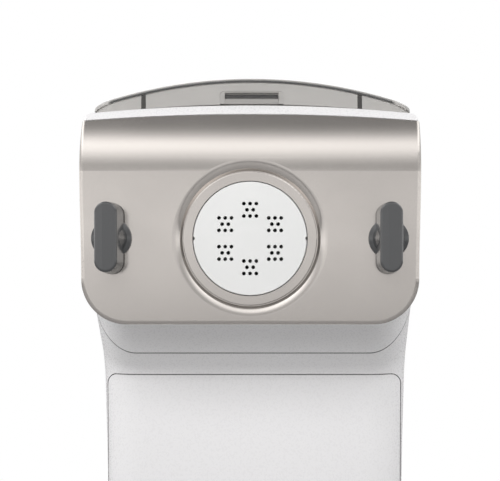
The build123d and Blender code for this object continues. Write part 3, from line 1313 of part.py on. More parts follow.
def make_motor_cradle():
    """Two saddles on a foot that carry the motor off the base plate."""
    floor, half = FOOT_H + PLATE_T, MOTOR_R * 0.8
    y0, y1 = GEARBOX_Y1 + SADDLE_T, MOTOR_Y1 - SADDLE_T
    cradle = block(-half, half, y0, y1, floor, floor + CRADLE_T)
    for y in (y0, y1 - SADDLE_T):
        cradle += block(-half, half, y, y + SADDLE_T, floor, MOTOR_Z - MOTOR_R * 0.55)
    return cradle - rod_y(MOTOR_R + SEAT, y0 - 1, y1 + 1, 0, MOTOR_Z)


def make_power_board():
    """Upright supply board with its transformer, relay and three capacitors."""
    x, floor = -POWER_X, FOOT_H + PLATE_T
    board = block(x, x + BOARD_T, POWER_Y0, POWER_Y0 + POWER_L, floor, floor + POWER_H)
    for reach, y_share, y_size, z_share, z_size in (COIL, RELAY):
        y0, z0 = POWER_Y0 + y_share * POWER_L, floor + z_share * POWER_H
        board += block(x + 1, x + reach, y0, y0 + y_size, z0, z0 + z_size)
    high = floor + POWER_H * 5 / 6
    for i in range(3):
        y = POWER_Y0 + POWER_L * (i + 1) / 4
        board += rod_x(CAPACITOR_R, x + 1, x + CAPACITOR_L, y, high)
    return board


def make_lid_switch():
    """Safety switch on the bulkhead that the closed lid holds in."""
    top = DECK_SPLIT_Z - 4
    y1 = GEARBOX_Y + SWITCH_T
    return block(SWITCH_X, SWITCH_X + SWITCH_L, GEARBOX_Y, y1, top - SWITCH_D, top)


def make_cord_bush():
    """Rubber bush where the mains lead enters the back."""
    wall_y, end_y = REAR_Y - WALL, REAR_Y - GLAND_SET
    collar, neck = GLAND_R + 2, GLAND_R - SEAT
    outline = [
        (GLAND_BORE, wall_y - 4),
        (collar, wall_y - 4),
        (collar, wall_y - SEAT),
        (neck, wall_y - SEAT),
        (neck, end_y),
        (GLAND_BORE, end_y),
    ]
    return turned_y(outline, GLAND_X, GLAND_Z)


# ================================================================ controls
def bezel_slab(gap, x0, x1):
    """The control panel's outline on the right side, as a cutter; gap widens it."""
    face = RectangleRounded(BEZEL_L + 2 * gap, BEZEL_H + 2 * gap, BEZEL_R + gap)
    return side_slab(Pos(CONTROL_Y, CONTROL_Z) * face, x0, x1)


def button_places():
    """Middle of each push button on the panel, by name."""
    names = ("button_power", "button_program", "button_start", "button_extrude")
    places = [(y, z) for y in BUTTON_YS for z in BUTTON_ZS]
    return dict(zip(names, places))


def button_slab(y, z, extra, x0, x1):
    """A button's rounded outline as a solid."""
    face = RectangleRounded(BUTTON_L + 2 * extra, BUTTON_H + 2 * extra, BUTTON_R + extra)
    return side_slab(Pos(CONTROL_Y + y, CONTROL_Z + z) * face, x0, x1)


def make_control_bezel():
    """Bezel of the control panel: window pocket, button holes and board pillars."""
    face_x = BODY_HALF_TOP + BEZEL_PROUD
    back_x = face_x - BEZEL_T
    bezel = bezel_slab(0, back_x, face_x)
    bezel += bezel_slab(-BEZEL_STEP - SEAT, face_x - BEZEL_D, back_x)
    window = RectangleRounded(WINDOW_L + 2 * SEAT, WINDOW_H + 2 * SEAT, WINDOW_R)
    place = Pos(CONTROL_Y + WINDOW_SHIFT, CONTROL_Z)
    bezel -= side_slab(place * window, face_x - WINDOW_T - SEAT, FAR)
    bezel -= side_slab(place * Rectangle(WINDOW_L - 4, WINDOW_H - 4), 0, FAR)
    for y, z in button_places().values():
        bezel -= button_slab(y, z, SLIP, 0, FAR)
    board_x = face_x - BEZEL_D - BOARD_GAP
    for y, z in pillar_places():
        bezel += rod_x(PILLAR_R, board_x, face_x - BEZEL_D + 1, y, z)
    return bezel


def pillar_places():
    """Four pillars behind the bezel that carry the board."""
    inset = BEZEL_STEP + PILLAR_R + SLIP + 1
    reach_y, reach_z = BEZEL_L / 2 - inset, BEZEL_H / 2 - inset
    return [(CONTROL_Y + sy * reach_y, CONTROL_Z + sz * reach_z) for sy in (-1, 1) for sz in (-1, 1)]


def make_display_window():
    """Dark window over the display."""
    face_x = BODY_HALF_TOP + BEZEL_PROUD
    face = RectangleRounded(WINDOW_L, WINDOW_H, WINDOW_R)
    return side_slab(Pos(CONTROL_Y + WINDOW_SHIFT, CONTROL_Z) * face, face_x - WINDOW_T, face_x)


def make_control_board():
    """Board with the display and a small switch behind each button."""
    board_x = BODY_HALF_TOP + BEZEL_PROUD - BEZEL_D - BOARD_GAP
    face = Pos(CONTROL_Y, CONTROL_Z) * Rectangle(BEZEL_L - 2 * BEZEL_STEP, BEZEL_H - 2 * BEZEL_STEP)
    board = side_slab(face, board_x - BOARD_T, board_x)
    display = Pos(CONTROL_Y + WINDOW_SHIFT, CONTROL_Z) * Rectangle(WINDOW_L - 6, WINDOW_H - 6)
    board += side_slab(display, board_x - 1, board_x + BOARD_GAP)
    for y, z in button_places().values():
        switch = Pos(CONTROL_Y + y, CONTROL_Z + z) * Rectangle(4 * STEM_R, 4 * STEM_R)
        board += side_slab(switch, board_x - 1, board_x + SWITCH_H)
    return board


def make_button(y, z):
    """Push button: cap through the bezel, retaining flange and stem behind it."""
    face_x = BODY_HALF_TOP + BEZEL_PROUD + BUTTON_PROUD
    back_x = BODY_HALF_TOP + BEZEL_PROUD - BEZEL_D
    board_x = back_x - BOARD_GAP
    flange_x = back_x - SLIP
    cap = button_slab(y, z, 0, flange_x - 1, face_x)
    cap = chamfer(cap.faces().sort_by(Axis.X)[-1].edges(), BUTTON_PROUD)
    cap += button_slab(y, z, BUTTON_FLANGE, flange_x - BUTTON_FLANGE_T, flange_x)
    tip_x = board_x + SWITCH_H + BUTTON_TRAVEL + SLIP
    return cap + rod_x(STEM_R, tip_x, back_x - 1, CONTROL_Y + y, CONTROL_Z + z)


# ================================================================ screws
def make_base_screws():
    """Six screws up through the base plate."""
    screws = []
    for x, y in base_screw_places():
        screw = rod_z(SCREW_HEAD_R, x, y, FOOT_H - COVER_SHEET, FOOT_H)
        screw += rod_z(SCREW_HOLE_R - SEAT, x, y, FOOT_H - 1, FOOT_H + PLATE_T + SCREW_L)
        screws.append(screw.solids()[0])
    return Compound(children=screws)


def base_screw_places():
    """Screws along both sides of the base plate."""
    x = BODY_HALF_FOOT - WALL - SCREW_BOSS_R - 2
    return [(sx * x, y) for sx in (-1, 1) for y in BASE_SCREW_YS]


def build():
    """Makes every piece and returns them by node name."""
    shell = housing_shell()
    body = body_shell(shell)
    nodes = {
        "front_housing": make_front_housing(shell),
        "main_housing": make_main_housing(body),
        "side_panel_left": make_side_panel(body, -1),
        "side_panel_right": make_side_panel(body, 1),
        "rear_housing": make_rear_housing(body),
        "rear_deck": make_rear_deck(shell),
        "rear_cover": make_rear_cover(),
        "rear_cover_screws": make_cover_screws(),
        "base_plate": make_base_plate(),
        "feet": make_feet(),
        "base_screws": make_base_screws(),
        "front_plate": make_front_plate(),
        "panel_studs": make_studs(),
        "front_fascia": make_front_fascia(),
        "panel_frame": make_panel_frame(),
        "mixing_chamber": make_mixing_chamber(),
        "shaft_seal": make_shaft_seal(),
        "extrusion_tube": make_extrusion_tube(),
        "shaping_disc": make_shaping_disc(),
        "extrusion_screw": make_extrusion_screw(),
        "mixing_paddle": make_mixing_paddle(),
        "lid_shell": make_lid_shell(),
        "lid_latch": make_lid_latch(),
        "hinge_pins": make_hinge_pins(),
        "drawer_front": make_drawer_front(shell),
        "drawer_tray": make_drawer_tray(),
        "drawer_rails": make_drawer_rails(),
        "chamber_cradle": make_cradle(),
        "gearbox_plate": make_gearbox_plate(),
        "gearbox_cover": make_gearbox_cover(),
        "gearbox_case": make_gearbox_case(),
        "shaft_bushes": make_bushes(),
        "output_shaft": make_output_shaft(),
        "output_gear": make_output_gear(),
        "layshaft": make_layshaft(),
        "layshaft_gear": make_lay_gear(),
        "motor_pinion": make_motor_pinion(),
        "motor_shaft": make_motor_shaft(),
        "motor_rotor": make_motor_rotor(),
        "motor_stator": make_motor_stator(),
        "motor_case": make_motor_case(),
        "cooling_fan": make_cooling_fan(),
        "motor_cradle": make_motor_cradle(),
        "power_board": make_power_board(),
        "lid_switch": make_lid_switch(),
        "cord_bush": make_cord_bush(),
        "control_bezel": make_control_bezel(),
        "display_window": make_display_window(),
        "control_board": make_control_board(),
    }
    for side, name in ((-1, "left"), (1, "right")):
        nodes["knob_" + name] = make_knob(side)
        nodes["knob_insert_" + name] = make_insert(side)
    for name, (y, z) in button_places().items():
        nodes[name] = make_button(y, z)
    return nodes


def main():
    """Writes one STEP file for each node."""
    os.makedirs("parts", exist_ok=True)
    for name, shape in build().items():
        export_step(shape, f"parts/{name}.step")


if __name__ == "__main__":
    main()
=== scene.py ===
"""Looks of a countertop electric pasta maker: finishes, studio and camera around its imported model."""

import json
import logging
import math
from dataclasses import dataclass, field
from enum import Enum

import bmesh
import bpy
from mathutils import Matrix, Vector


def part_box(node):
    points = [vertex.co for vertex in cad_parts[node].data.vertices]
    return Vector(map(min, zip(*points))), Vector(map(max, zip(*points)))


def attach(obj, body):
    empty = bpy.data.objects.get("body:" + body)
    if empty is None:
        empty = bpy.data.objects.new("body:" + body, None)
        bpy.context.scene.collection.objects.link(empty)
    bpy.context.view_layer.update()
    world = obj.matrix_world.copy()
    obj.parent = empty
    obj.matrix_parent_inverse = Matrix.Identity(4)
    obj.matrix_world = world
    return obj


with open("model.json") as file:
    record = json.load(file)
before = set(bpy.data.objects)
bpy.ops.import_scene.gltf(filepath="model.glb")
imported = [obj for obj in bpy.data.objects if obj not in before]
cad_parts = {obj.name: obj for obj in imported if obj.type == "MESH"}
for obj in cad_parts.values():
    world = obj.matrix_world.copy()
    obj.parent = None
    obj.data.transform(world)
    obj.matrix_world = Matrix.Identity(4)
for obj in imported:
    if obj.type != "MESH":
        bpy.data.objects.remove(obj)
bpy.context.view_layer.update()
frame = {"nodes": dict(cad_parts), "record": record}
LOG = logging.getLogger("pasta_maker")

Socket = bpy.types.NodeSocket
Colour = tuple[float, float, float]
Place = tuple[float, float, float]
Point = tuple[float, float]
Outline = list[Point]
Stops = tuple[Point, ...]

WHITE: Colour = (1.0, 1.0, 1.0)
NOISE_RANGE = (0.3, 0.7)  # nearly all noise lies between these

# segments of a seven-segment figure that light up for 0 to 9
LIT = ("abcdef", "bc", "abged", "abgcd", "fgbc", "afgcd", "afgedc", "abc", "abcdefg", "abcfgd")


class Slot(Enum):
    """Material slots of the record, by the finish that each one stands for."""

    WHITE_GLOSS = "white_gloss"
    PANEL_METAL = "panel_metal"
    KNOB_GREY = "knob_grey"
    SMOKED_CLEAR = "smoked_clear"
    CLEAR_BASIN = "clear_basin"
    DISC_WHITE = "disc_white"
    TUBE_GREY = "tube_grey"
    CHASSIS = "chassis_plastic"
    GEAR = "gear_plastic"
    STEEL = "steel"
    BRASS = "brass"
    BRONZE = "bronze"
    RUBBER = "rubber"
    SEAL = "seal_rubber"
    WINDOW = "display_glass"
    BOARD = "board"
    BUTTON = "button_white"
    LAMINATIONS = "laminations"


class Grain(Enum):
    """Ways that a surface's fine relief runs."""

    EVEN = (1.0, 1.0, 1.0)
    ALONG_X = (0.04, 1.0, 1.0)


def opaque(colour: Colour) -> tuple[float, float, float, float]:
    """Returns a colour with full cover."""
    return (*colour, 1.0)


def darker(colour: Colour, share: float) -> Colour:
    """Returns a colour that is darker by a share of itself."""
    return tuple(channel * (1.0 - share) for channel in colour)


class Nodes:
    """A tree of shader nodes under construction, with short calls that the materials and the world share."""

    def __init__(self, tree: bpy.types.NodeTree) -> None:
        """Takes a tree.

        Args:
            tree: The nodes of a material or of the world.
        """
        self.tree = tree

    def add(self, kind: str) -> bpy.types.Node:
        """Adds a shader node, named as in Blender."""
        return self.tree.nodes.new("ShaderNode" + kind)

    def lead(self, source: Socket, target: Socket) -> None:
        """Leads one socket into another."""
        self.tree.links.new(source, target)

    def maths(self, operation: str, *values: Socket | float) -> Socket:
        """Adds one arithmetic step.

        Args:
            operation: The step's name in Blender.
            values: Sockets or numbers that go in.

        Returns:
            What comes out.
        """
        node = self.add("Math")
        node.operation = operation
        for socket, value in zip(node.inputs, values):
            if isinstance(value, float):
                socket.default_value = value
            else:
                self.lead(value, socket)
        return node.outputs["Value"]

    def axes(self, vector: Socket) -> tuple[Socket, ...]:
        """Splits a vector.

        Args:
            vector: A place or a direction.

        Returns:
            Its X, Y and Z.
        """
        split = self.add("SeparateXYZ")
        self.lead(vector, split.inputs["Vector"])
        return tuple(split.outputs[axis] for axis in "XYZ")

    def rescale(self, source: Socket, old: Point, new: Point = (0.0, 1.0), way: str = "LINEAR") -> Socket:
        """Turns one range of values into another, and holds its ends beyond them.

        Args:
            source: The value.
            old: Ends of the range that it comes from.
            new: Ends of the range that it goes to.
            way: Blender's name for the curve between the ends.

        Returns:
            The new value.
        """
        node = self.add("MapRange")
        node.interpolation_type = way
        node.inputs["From Min"].default_value, node.inputs["From Max"].default_value = old
        node.inputs["To Min"].default_value, node.inputs["To Max"].default_value = new
        self.lead(source, node.inputs["Value"])
        return node.outputs["Result"]

    def blend(self, where: Socket, first: Socket | Colour, second: Colour) -> Socket:
        """Goes from one colour to another.

        Args:
            where: 0 for the first, 1 for the second.
            first: A colour, or a socket that gives one.
            second: The other colour.

        Returns:
            The colour between them.
        """
        mix = self.add("Mix")
        mix.data_type = "RGBA"
        from_colour, to_colour = (socket for socket in mix.inputs if socket.type == "RGBA")
        self.lead(where, mix.inputs[0])
        if isinstance(first, tuple):
            from_colour.default_value = opaque(first)
        else:
            self.lead(first, from_colour)
        to_colour.default_value = opaque(second)
        return next(socket for socket in mix.outputs if socket.type == "RGBA")

    def either(self, choice: Socket, first: Socket, second: Socket) -> Socket:
        """Chooses between two shaders.

        Args:
            choice: 0 for the first, 1 for the second.
            first: A shader.
            second: The other shader.

        Returns:
            The one that is chosen.
        """
        mix = self.add("MixShader")
        self.lead(choice, mix.inputs["Fac"])
        self.lead(first, mix.inputs[1])
        self.lead(second, mix.inputs[2])
        return mix.outputs["Shader"]

    def seen(self) -> Socket:
        """Returns 1 where the eye looks, straight or through clear pieces, else 0."""
        path = self.add("LightPath")
        return self.maths("MAXIMUM", path.outputs["Is Camera Ray"], path.outputs["Is Transmission Ray"])


class Shader(Nodes):
    """One material under construction, on a Principled shader."""

    def __init__(self, name: str) -> None:
        """Starts an empty material.

        Args:
            name: The material's name.
        """
        self.material = bpy.data.materials.new(name)
        self.material.use_nodes = True
        super().__init__(self.material.node_tree)
        self.surface = self.tree.nodes["Principled BSDF"]
        self.place = self.add("TexCoord").outputs["Object"]

    def set(self, **values: float | Colour) -> None:
        """Sets the shader's own sockets.

        Args:
            values: What each socket takes; a socket's name is written with _ for its spaces.
        """
        for name, value in values.items():
            socket = self.surface.inputs[name.replace("_", " ")]
            socket.default_value = opaque(value) if isinstance(value, tuple) else value

    def noise(self, size: float, octaves: float = 2.0, grain: Grain = Grain.EVEN) -> Socket:
        """Adds noise over the surface.

        Args:
            size: Width of its spots in metres.
            octaves: How many times finer spots are added.
            grain: The way that the spots are drawn out.

        Returns:
            The noise, from 0 to 1.
        """
        mapping = self.add("Mapping")
        mapping.inputs["Scale"].default_value = grain.value
        noise = self.add("TexNoise")
        noise.inputs["Scale"].default_value = 1.0 / size
        noise.inputs["Detail"].default_value = octaves
        self.lead(self.place, mapping.inputs["Vector"])
        self.lead(mapping.outputs["Vector"], noise.inputs["Vector"])
        return noise.outputs["Fac"]

    def roughen(self, noise: Socket, low: float, high: float) -> None:
        """Lets the surface's roughness follow noise between two values."""
        self.lead(self.rescale(noise, NOISE_RANGE, (low, high)), self.surface.inputs["Roughness"])

    def tones(self, noise: Socket, dark: Colour, light: Colour) -> None:
        """Colours the surface between two tones.

        Args:
            noise: A value from 0 to 1.
            dark: Colour where the noise is low.
            light: Colour where it is high.
        """
        ramp = self.add("ValToRGB")
        for element, position, colour in zip(ramp.color_ramp.elements, NOISE_RANGE, (dark, light)):
            element.position = position
            element.color = opaque(colour)
        self.lead(noise, ramp.inputs["Fac"])
        self.lead(ramp.outputs["Color"], self.surface.inputs["Base Color"])

    def near(self, source: Socket, middle: float, half: float) -> Socket:
        """Returns 1 where a value lies within half of the middle, else 0."""
        away = self.maths("ABSOLUTE", self.maths("SUBTRACT", source, middle))
        return self.maths("LESS_THAN", away, half)

    def paint_shade(self, where: Socket, colour: Colour) -> None:
        """Lays painted shade, in another colour, over the surface's own.

        Args:
            where: 0 where the surface keeps its colour, 1 where it takes the other.
            colour: The colour of the painted shade.
        """
        # painted shade goes over the base colour
        base = self.surface.inputs["Base Color"]
        self.lead(self.blend(where, base.links[0].from_socket, colour), base)

    def relief(self, noise: Socket, height: float) -> None:
        """Gives the surface fine relief.

        Args:
            noise: Height from 0 to 1.
            height: What 1 stands for, in metres.
        """
        bump = self.add("Bump")
        bump.inputs["Strength"].default_value = 1.0
        bump.inputs["Distance"].default_value = height
        self.lead(noise, bump.inputs["Height"])
        self.lead(bump.outputs["Normal"], self.surface.inputs["Normal"])


@dataclass(frozen=True)
class JointShade:
    """Painted shade: a dark line on the surfaces in the gap behind a housing piece, where shade falls in the
    seam.
    """

    node: str
    gap: float = 0.0006
    overlap: float = 0.00002
    # colour of the painted shade in the seam
    colour: Colour = (0.2, 0.2, 0.2)

    def draw(self, shader: Shader) -> None:
        """Paints the shade line.

        Args:
            shader: The material under construction.
        """
        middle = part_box(self.node)[1].y + self.gap / 2.0
        y = shader.axes(shader.place)[1]
        # paints shade over the gap's surfaces
        shader.paint_shade(shader.near(y, middle, self.gap / 2.0 + self.overlap), self.colour)


@dataclass(frozen=True)
class SheetEdgeShade:
    """Painted shade at the front of a clear piece, in place of the darkening where its sheet is seen edge
    on.
    """

    node: str
    depth: float = 0.00045
    fade: float = 0.0004
    # colour of the painted shade on the edge
    colour: Colour = (0.1, 0.1, 0.1)

    def draw(self, shader: Shader) -> None:
        """Paints the shade on the edge.

        Args:
            shader: The material under construction.
        """
        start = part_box(self.node)[0].y + self.depth
        y = shader.axes(shader.place)[1]
        shader.paint_shade(shader.rescale(y, (start, start - self.fade)), self.colour)


@dataclass(frozen=True)
class RibShade:
    """Painted shade on a clear lid's front wall, standing in for the walls inside the lid, either side of
    its middle, that show through the wall in front.
    """

    node: str
    off_middle: float = 0.0702
    half_width: float = 0.0015
    depth: float = 0.0041  # of the wall in front
    drop: float = 0.0098  # from the lid's crest
    # colour of the painted shade of the ribs
    colour: Colour = (0.10, 0.095, 0.09)

    def draw(self, shader: Shader) -> None:
        """Paints shade on the front wall where the ribs are seen end on.

        Args:
            shader: The material under construction.
        """
        low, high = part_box(self.node)
        x, y, z = shader.axes(shader.place)
        across = shader.near(shader.maths("ABSOLUTE", x), self.off_middle, self.half_width)
        ahead = shader.maths("LESS_THAN", y, low.y + self.depth)
        below = shader.maths("LESS_THAN", z, high.z - self.drop)
        shader.paint_shade(shader.maths("MULTIPLY", shader.maths("MULTIPLY", across, ahead), below), self.colour)


# painted shade that a finish lays over its colour
Marks = tuple[JointShade | SheetEdgeShade | RibShade, ...]


@dataclass(frozen=True)
class Moulding:
    """A moulded plastic or rubber: fine moulded relief, faint flow marks and even sheen."""

    slot: Slot
    colour: Colour
    roughness: float = 0.3
    sheen_spread: float = 0.05
    texture_size: float = 0.0012
    texture_height: float = 0.00001
    flow_size: float = 0.05
    tone_spread: float = 0.03
    coat: float = 0.0
    coat_roughness: float = 0.08
    ior: float = 1.5
    # painted shade laid over the colour
    marks: Marks = ()

    def build(self) -> bpy.types.Material:
        """Makes the material.

        Returns:
            The material.
        """
        shader = Shader(self.slot.value)
        flow = shader.noise(self.flow_size, octaves=3.0)
        texture = shader.noise(self.texture_size)
        shader.tones(flow, darker(self.colour, self.tone_spread), self.colour)
        shader.roughen(texture, self.roughness - self.sheen_spread, self.roughness + self.sheen_spread)
        shader.relief(texture, self.texture_height)
        shader.set(Coat_Weight=self.coat, Coat_Roughness=self.coat_roughness, IOR=self.ior)
        # lays the finish's painted shade, if any
        for mark in self.marks:
            mark.draw(shader)
        return shader.material


@dataclass(frozen=True)
class Metal:
    """A bare or satin metal: directional grain, a fine sparkle and faint cloudiness."""

    slot: Slot
    colour: Colour
    roughness: float = 0.3
    cloud_size: float = 0.03
    cloud_spread: float = 0.03
    grain: Grain = Grain.EVEN
    grain_size: float = 0.0004
    grain_height: float = 0.000004
    tone_spread: float = 0.08
    metallic: float = 1.0

    def build(self) -> bpy.types.Material:
        """Makes the material.

        Returns:
            The material.
        """
        shader = Shader(self.slot.value)
        scratches = shader.noise(self.grain_size, octaves=3.0, grain=self.grain)
        clouds = shader.noise(self.cloud_size)
        shader.tones(scratches, darker(self.colour, self.tone_spread), self.colour)
        shader.roughen(clouds, self.roughness - self.cloud_spread, self.roughness + self.cloud_spread)
        shader.relief(scratches, self.grain_height)
        shader.set(Metallic=self.metallic)
        return shader.material


@dataclass(frozen=True)
class Clear:
    """A clear or smoked moulding, which passes some light."""

    slot: Slot
    colour: Colour
    roughness: float = 0.06
    roughest: float = 1.6  # times the roughness
    ripple_size: float = 0.02
    ripple_height: float = 0.00002
    tone_spread: float = 0.03
    passing: float = 1.0
    ior: float = 1.49
    # painted shade laid over the colour
    marks: Marks = ()

    def build(self) -> bpy.types.Material:
        """Makes the material.

        Returns:
            The material.
        """
        shader = Shader(self.slot.value)
        ripple = shader.noise(self.ripple_size, octaves=1.0)
        shader.tones(ripple, darker(self.colour, self.tone_spread), self.colour)
        shader.roughen(ripple, self.roughness, self.roughness * self.roughest)
        shader.relief(ripple, self.ripple_height)
        shader.set(Transmission_Weight=self.passing, IOR=self.ior)
        # lays the finish's painted shade, if any
        for mark in self.marks:
            mark.draw(shader)
        return shader.material


FINISHES = (
    Moulding(
        Slot.WHITE_GLOSS,
        (0.855, 0.845, 0.85),
        roughness=0.28,
        sheen_spread=0.02,
        coat=0.2,
        tone_spread=0.01,
        texture_height=0.000001,
        # painted shade in the seam behind the front housing
        marks=(JointShade("front_housing"),),
    ),
    Metal(Slot.PANEL_METAL, (0.56, 0.525, 0.495), roughness=0.13, metallic=0.8),
    Moulding(Slot.KNOB_GREY, (0.064, 0.065, 0.067), roughness=0.2, coat=0.4),
    Clear(
        Slot.SMOKED_CLEAR,
        (0.71, 0.69, 0.665),
        roughness=0.12,
        passing=0.45,
        # painted shade at the lid's front edge and where its inner ribs show through
        marks=(SheetEdgeShade("lid_shell"), RibShade("lid_shell")),
    ),
    Clear(Slot.CLEAR_BASIN, (0.86, 0.86, 0.85)),
    Moulding(Slot.DISC_WHITE, (0.80, 0.80, 0.79), roughness=0.42),
    Moulding(Slot.TUBE_GREY, (0.30, 0.30, 0.30), roughness=0.4),
    Moulding(Slot.CHASSIS, (0.16, 0.16, 0.17), roughness=0.5, texture_height=0.00003),
    Moulding(Slot.GEAR, (0.72, 0.68, 0.56), roughness=0.45),
    Metal(Slot.STEEL, (0.60, 0.60, 0.60), roughness=0.32, grain=Grain.ALONG_X),
    Metal(Slot.BRASS, (0.75, 0.56, 0.27), roughness=0.25),
    Metal(Slot.BRONZE, (0.50, 0.36, 0.20), roughness=0.5, grain_height=0.00002),
    Moulding(Slot.RUBBER, (0.045, 0.045, 0.045), roughness=0.65, texture_height=0.00004),
    Moulding(Slot.SEAL, (0.45, 0.45, 0.43), roughness=0.6),
    Moulding(Slot.WINDOW, (0.012, 0.012, 0.016), roughness=0.08, sheen_spread=0.02, coat=0.6),
    Moulding(Slot.BOARD, (0.03, 0.16, 0.07), roughness=0.4),
    Moulding(Slot.BUTTON, (0.76, 0.76, 0.76), roughness=0.45),
    Metal(Slot.LAMINATIONS, (0.28, 0.28, 0.29), roughness=0.5, grain=Grain.ALONG_X),
)


@dataclass
class Wardrobe:
    """All finishes, made once and put on the CAD nodes by the record's slots."""

    materials: dict[str, bpy.types.Material] = field(default_factory=dict)

    def build(self) -> None:
        """Makes every finish."""
        for finish in FINISHES:
            self.materials[finish.slot.value] = finish.build()
            LOG.info("finish %s", finish.slot.value)

    def dress(self) -> None:
        """Gives each CAD node the finish of its slot."""
        for part in frame["record"]["subparts"]:
            node = frame["nodes"][part["node"]]
            node.data.materials.clear()
            node.data.materials.append(self.materials[part["material_slot"]])
            LOG.info("dressed %s", part["node"])


def bar(start: Point, end: Point, width: float) -> Outline:
    """Draws a straight stroke with square ends.

    Args:
        start: One end, across and up, in metres.
        end: The other end.
        width: Width of the stroke.

    Returns:
        Its four corners.
    """
    along = Vector(end) - Vector(start)
    side = Vector((-along.y, along.x)).normalized() * width / 2.0
    corners = (Vector(start) - side, Vector(end) - side, Vector(end) + side, Vector(start) + side)
    return [tuple(corner) for corner in corners]


def arc(radius: float, start: float, end: float, width: float, steps: int = 18) -> list[Outline]:
    """Draws a round stroke as joined sectors.

    Args:
        radius: Radius of its middle line in metres.
        start: Where it starts, in degrees from straight right.
        end: Where it ends.
        width: Width of the stroke.
        steps: Number of sectors.

    Returns:
        The sectors.
    """
    inner, outer = radius - width / 2.0, radius + width / 2.0
    angles = [math.radians(start + (end - start) * i / steps) for i in range(steps + 1)]
    ring = [[(r * math.cos(a), r * math.sin(a)) for a in angles] for r in (inner, outer)]
    return [[ring[0][i], ring[1][i], ring[1][i + 1], ring[0][i + 1]] for i in range(steps)]


class Sign(Enum):
    """Plain signs on the push buttons, by the button's name."""

    POWER = "power"
    PROGRAM = "program"
    START = "start"
    PRESS = "extrude"


@dataclass(frozen=True)
class SignDrawing:
    """Sizes of the signs in metres, each drawn about its own middle."""

    width: float = 0.0006
    ring: float = 0.0022
    ring_ends: Point = (125.0, 415.0)
    stem_ends: Point = (0.0008, 0.0030)
    line: float = 0.0024
    line_pitch: float = 0.0017
    wedge_ends: Point = (-0.0016, 0.0024)
    wedge_half: float = 0.0022
    arrow_ends: Point = (-0.0016, 0.0024)
    arrow_tip: float = -0.0020
    wing: Point = (0.0020, 0.0001)

    def strokes(self, sign: Sign) -> list[Outline]:
        """Draws one sign.

        Args:
            sign: Which of them.

        Returns:
            Its outlines.
        """
        if sign is Sign.POWER:
            low, high = self.stem_ends
            return arc(self.ring, *self.ring_ends, self.width) + [bar((0.0, low), (0.0, high), self.width)]
        if sign is Sign.PROGRAM:
            heights = (-self.line_pitch, 0.0, self.line_pitch)
            return [bar((-self.line, height), (self.line, height), self.width) for height in heights]
        if sign is Sign.START:
            back, tip = self.wedge_ends
            return [[(back, -self.wedge_half), (tip, 0.0), (back, self.wedge_half)]]
        foot, top = self.arrow_ends
        out, up = self.wing
        wings = [bar((side * out, up), (0.0, self.arrow_tip), self.width) for side in (-1.0, 1.0)]
        return [bar((0.0, top), (0.0, foot), self.width), *wings]


@dataclass(frozen=True)
class Digit:
    """One seven-segment figure of the display."""

    value: int
    middle: Point = (0.0, 0.0)
    half_width: float = 0.0023
    half_height: float = 0.0044
    width: float = 0.0008
    gap: float = 0.0004

    def strokes(self) -> list[Outline]:
        """Draws the lit segments.

        Returns:
            Their outlines.
        """
        w, h = self.half_width, self.half_height
        ends = {
            "a": ((-w, h), (w, h)),
            "b": ((w, h), (w, 0.0)),
            "c": ((w, 0.0), (w, -h)),
            "d": ((-w, -h), (w, -h)),
            "e": ((-w, 0.0), (-w, -h)),
            "f": ((-w, h), (-w, 0.0)),
            "g": ((-w, 0.0), (w, 0.0)),
        }
        outlines = []
        for name in LIT[self.value]:
            start, end = (Vector(point) + Vector(self.middle) for point in ends[name])
            trim = (end - start).normalized() * self.gap
            outlines.append(bar(tuple(start + trim), tuple(end - trim), self.width))
        return outlines


@dataclass
class PrintAndGlow:
    """A thin print on the outward face of a piece on the machine's right side; for the display figures, a
    pale painted glow in place of lit segments.
    """

    name: str
    node: str
    body: str
    strokes: list[Outline]
    colour: Colour
    thickness: float = 0.00004
    roughness: float = 0.5
    speck: float = 0.0006
    tone_spread: float = 0.1

    def build(self) -> bpy.types.Object:
        """Makes the print and lets it ride with its piece.

        Returns:
            The print's object.
        """
        low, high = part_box(self.node)
        middle = (low + high) / 2.0
        form = bmesh.new()
        for outline in self.strokes:
            spots = [form.verts.new((high.x, middle.y + y, middle.z + z)) for y, z in outline]
            form.faces.new(spots)
        made = bmesh.ops.extrude_face_region(form, geom=list(form.faces))
        raised = [item for item in made["geom"] if isinstance(item, bmesh.types.BMVert)]
        bmesh.ops.translate(form, verts=raised, vec=(self.thickness, 0.0, 0.0))
        bmesh.ops.recalc_face_normals(form, faces=list(form.faces))
        mesh = bpy.data.meshes.new(self.name)
        form.to_mesh(mesh)
        form.free()
        piece = bpy.data.objects.new(self.name, mesh)
        bpy.context.scene.collection.objects.link(piece)
        mesh.materials.append(self.finish())
        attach(piece, self.body)
        LOG.info("print %s", self.name)
        return piece

    def finish(self) -> bpy.types.Material:
        """Makes the print's ink, or the pale colour of a painted glow.

        Returns:
            The material.
        """
        shader = Shader(self.name)
        shader.tones(shader.noise(self.speck), darker(self.colour, self.tone_spread), self.colour)
        shader.set(Roughness=self.roughness)
        return shader.material


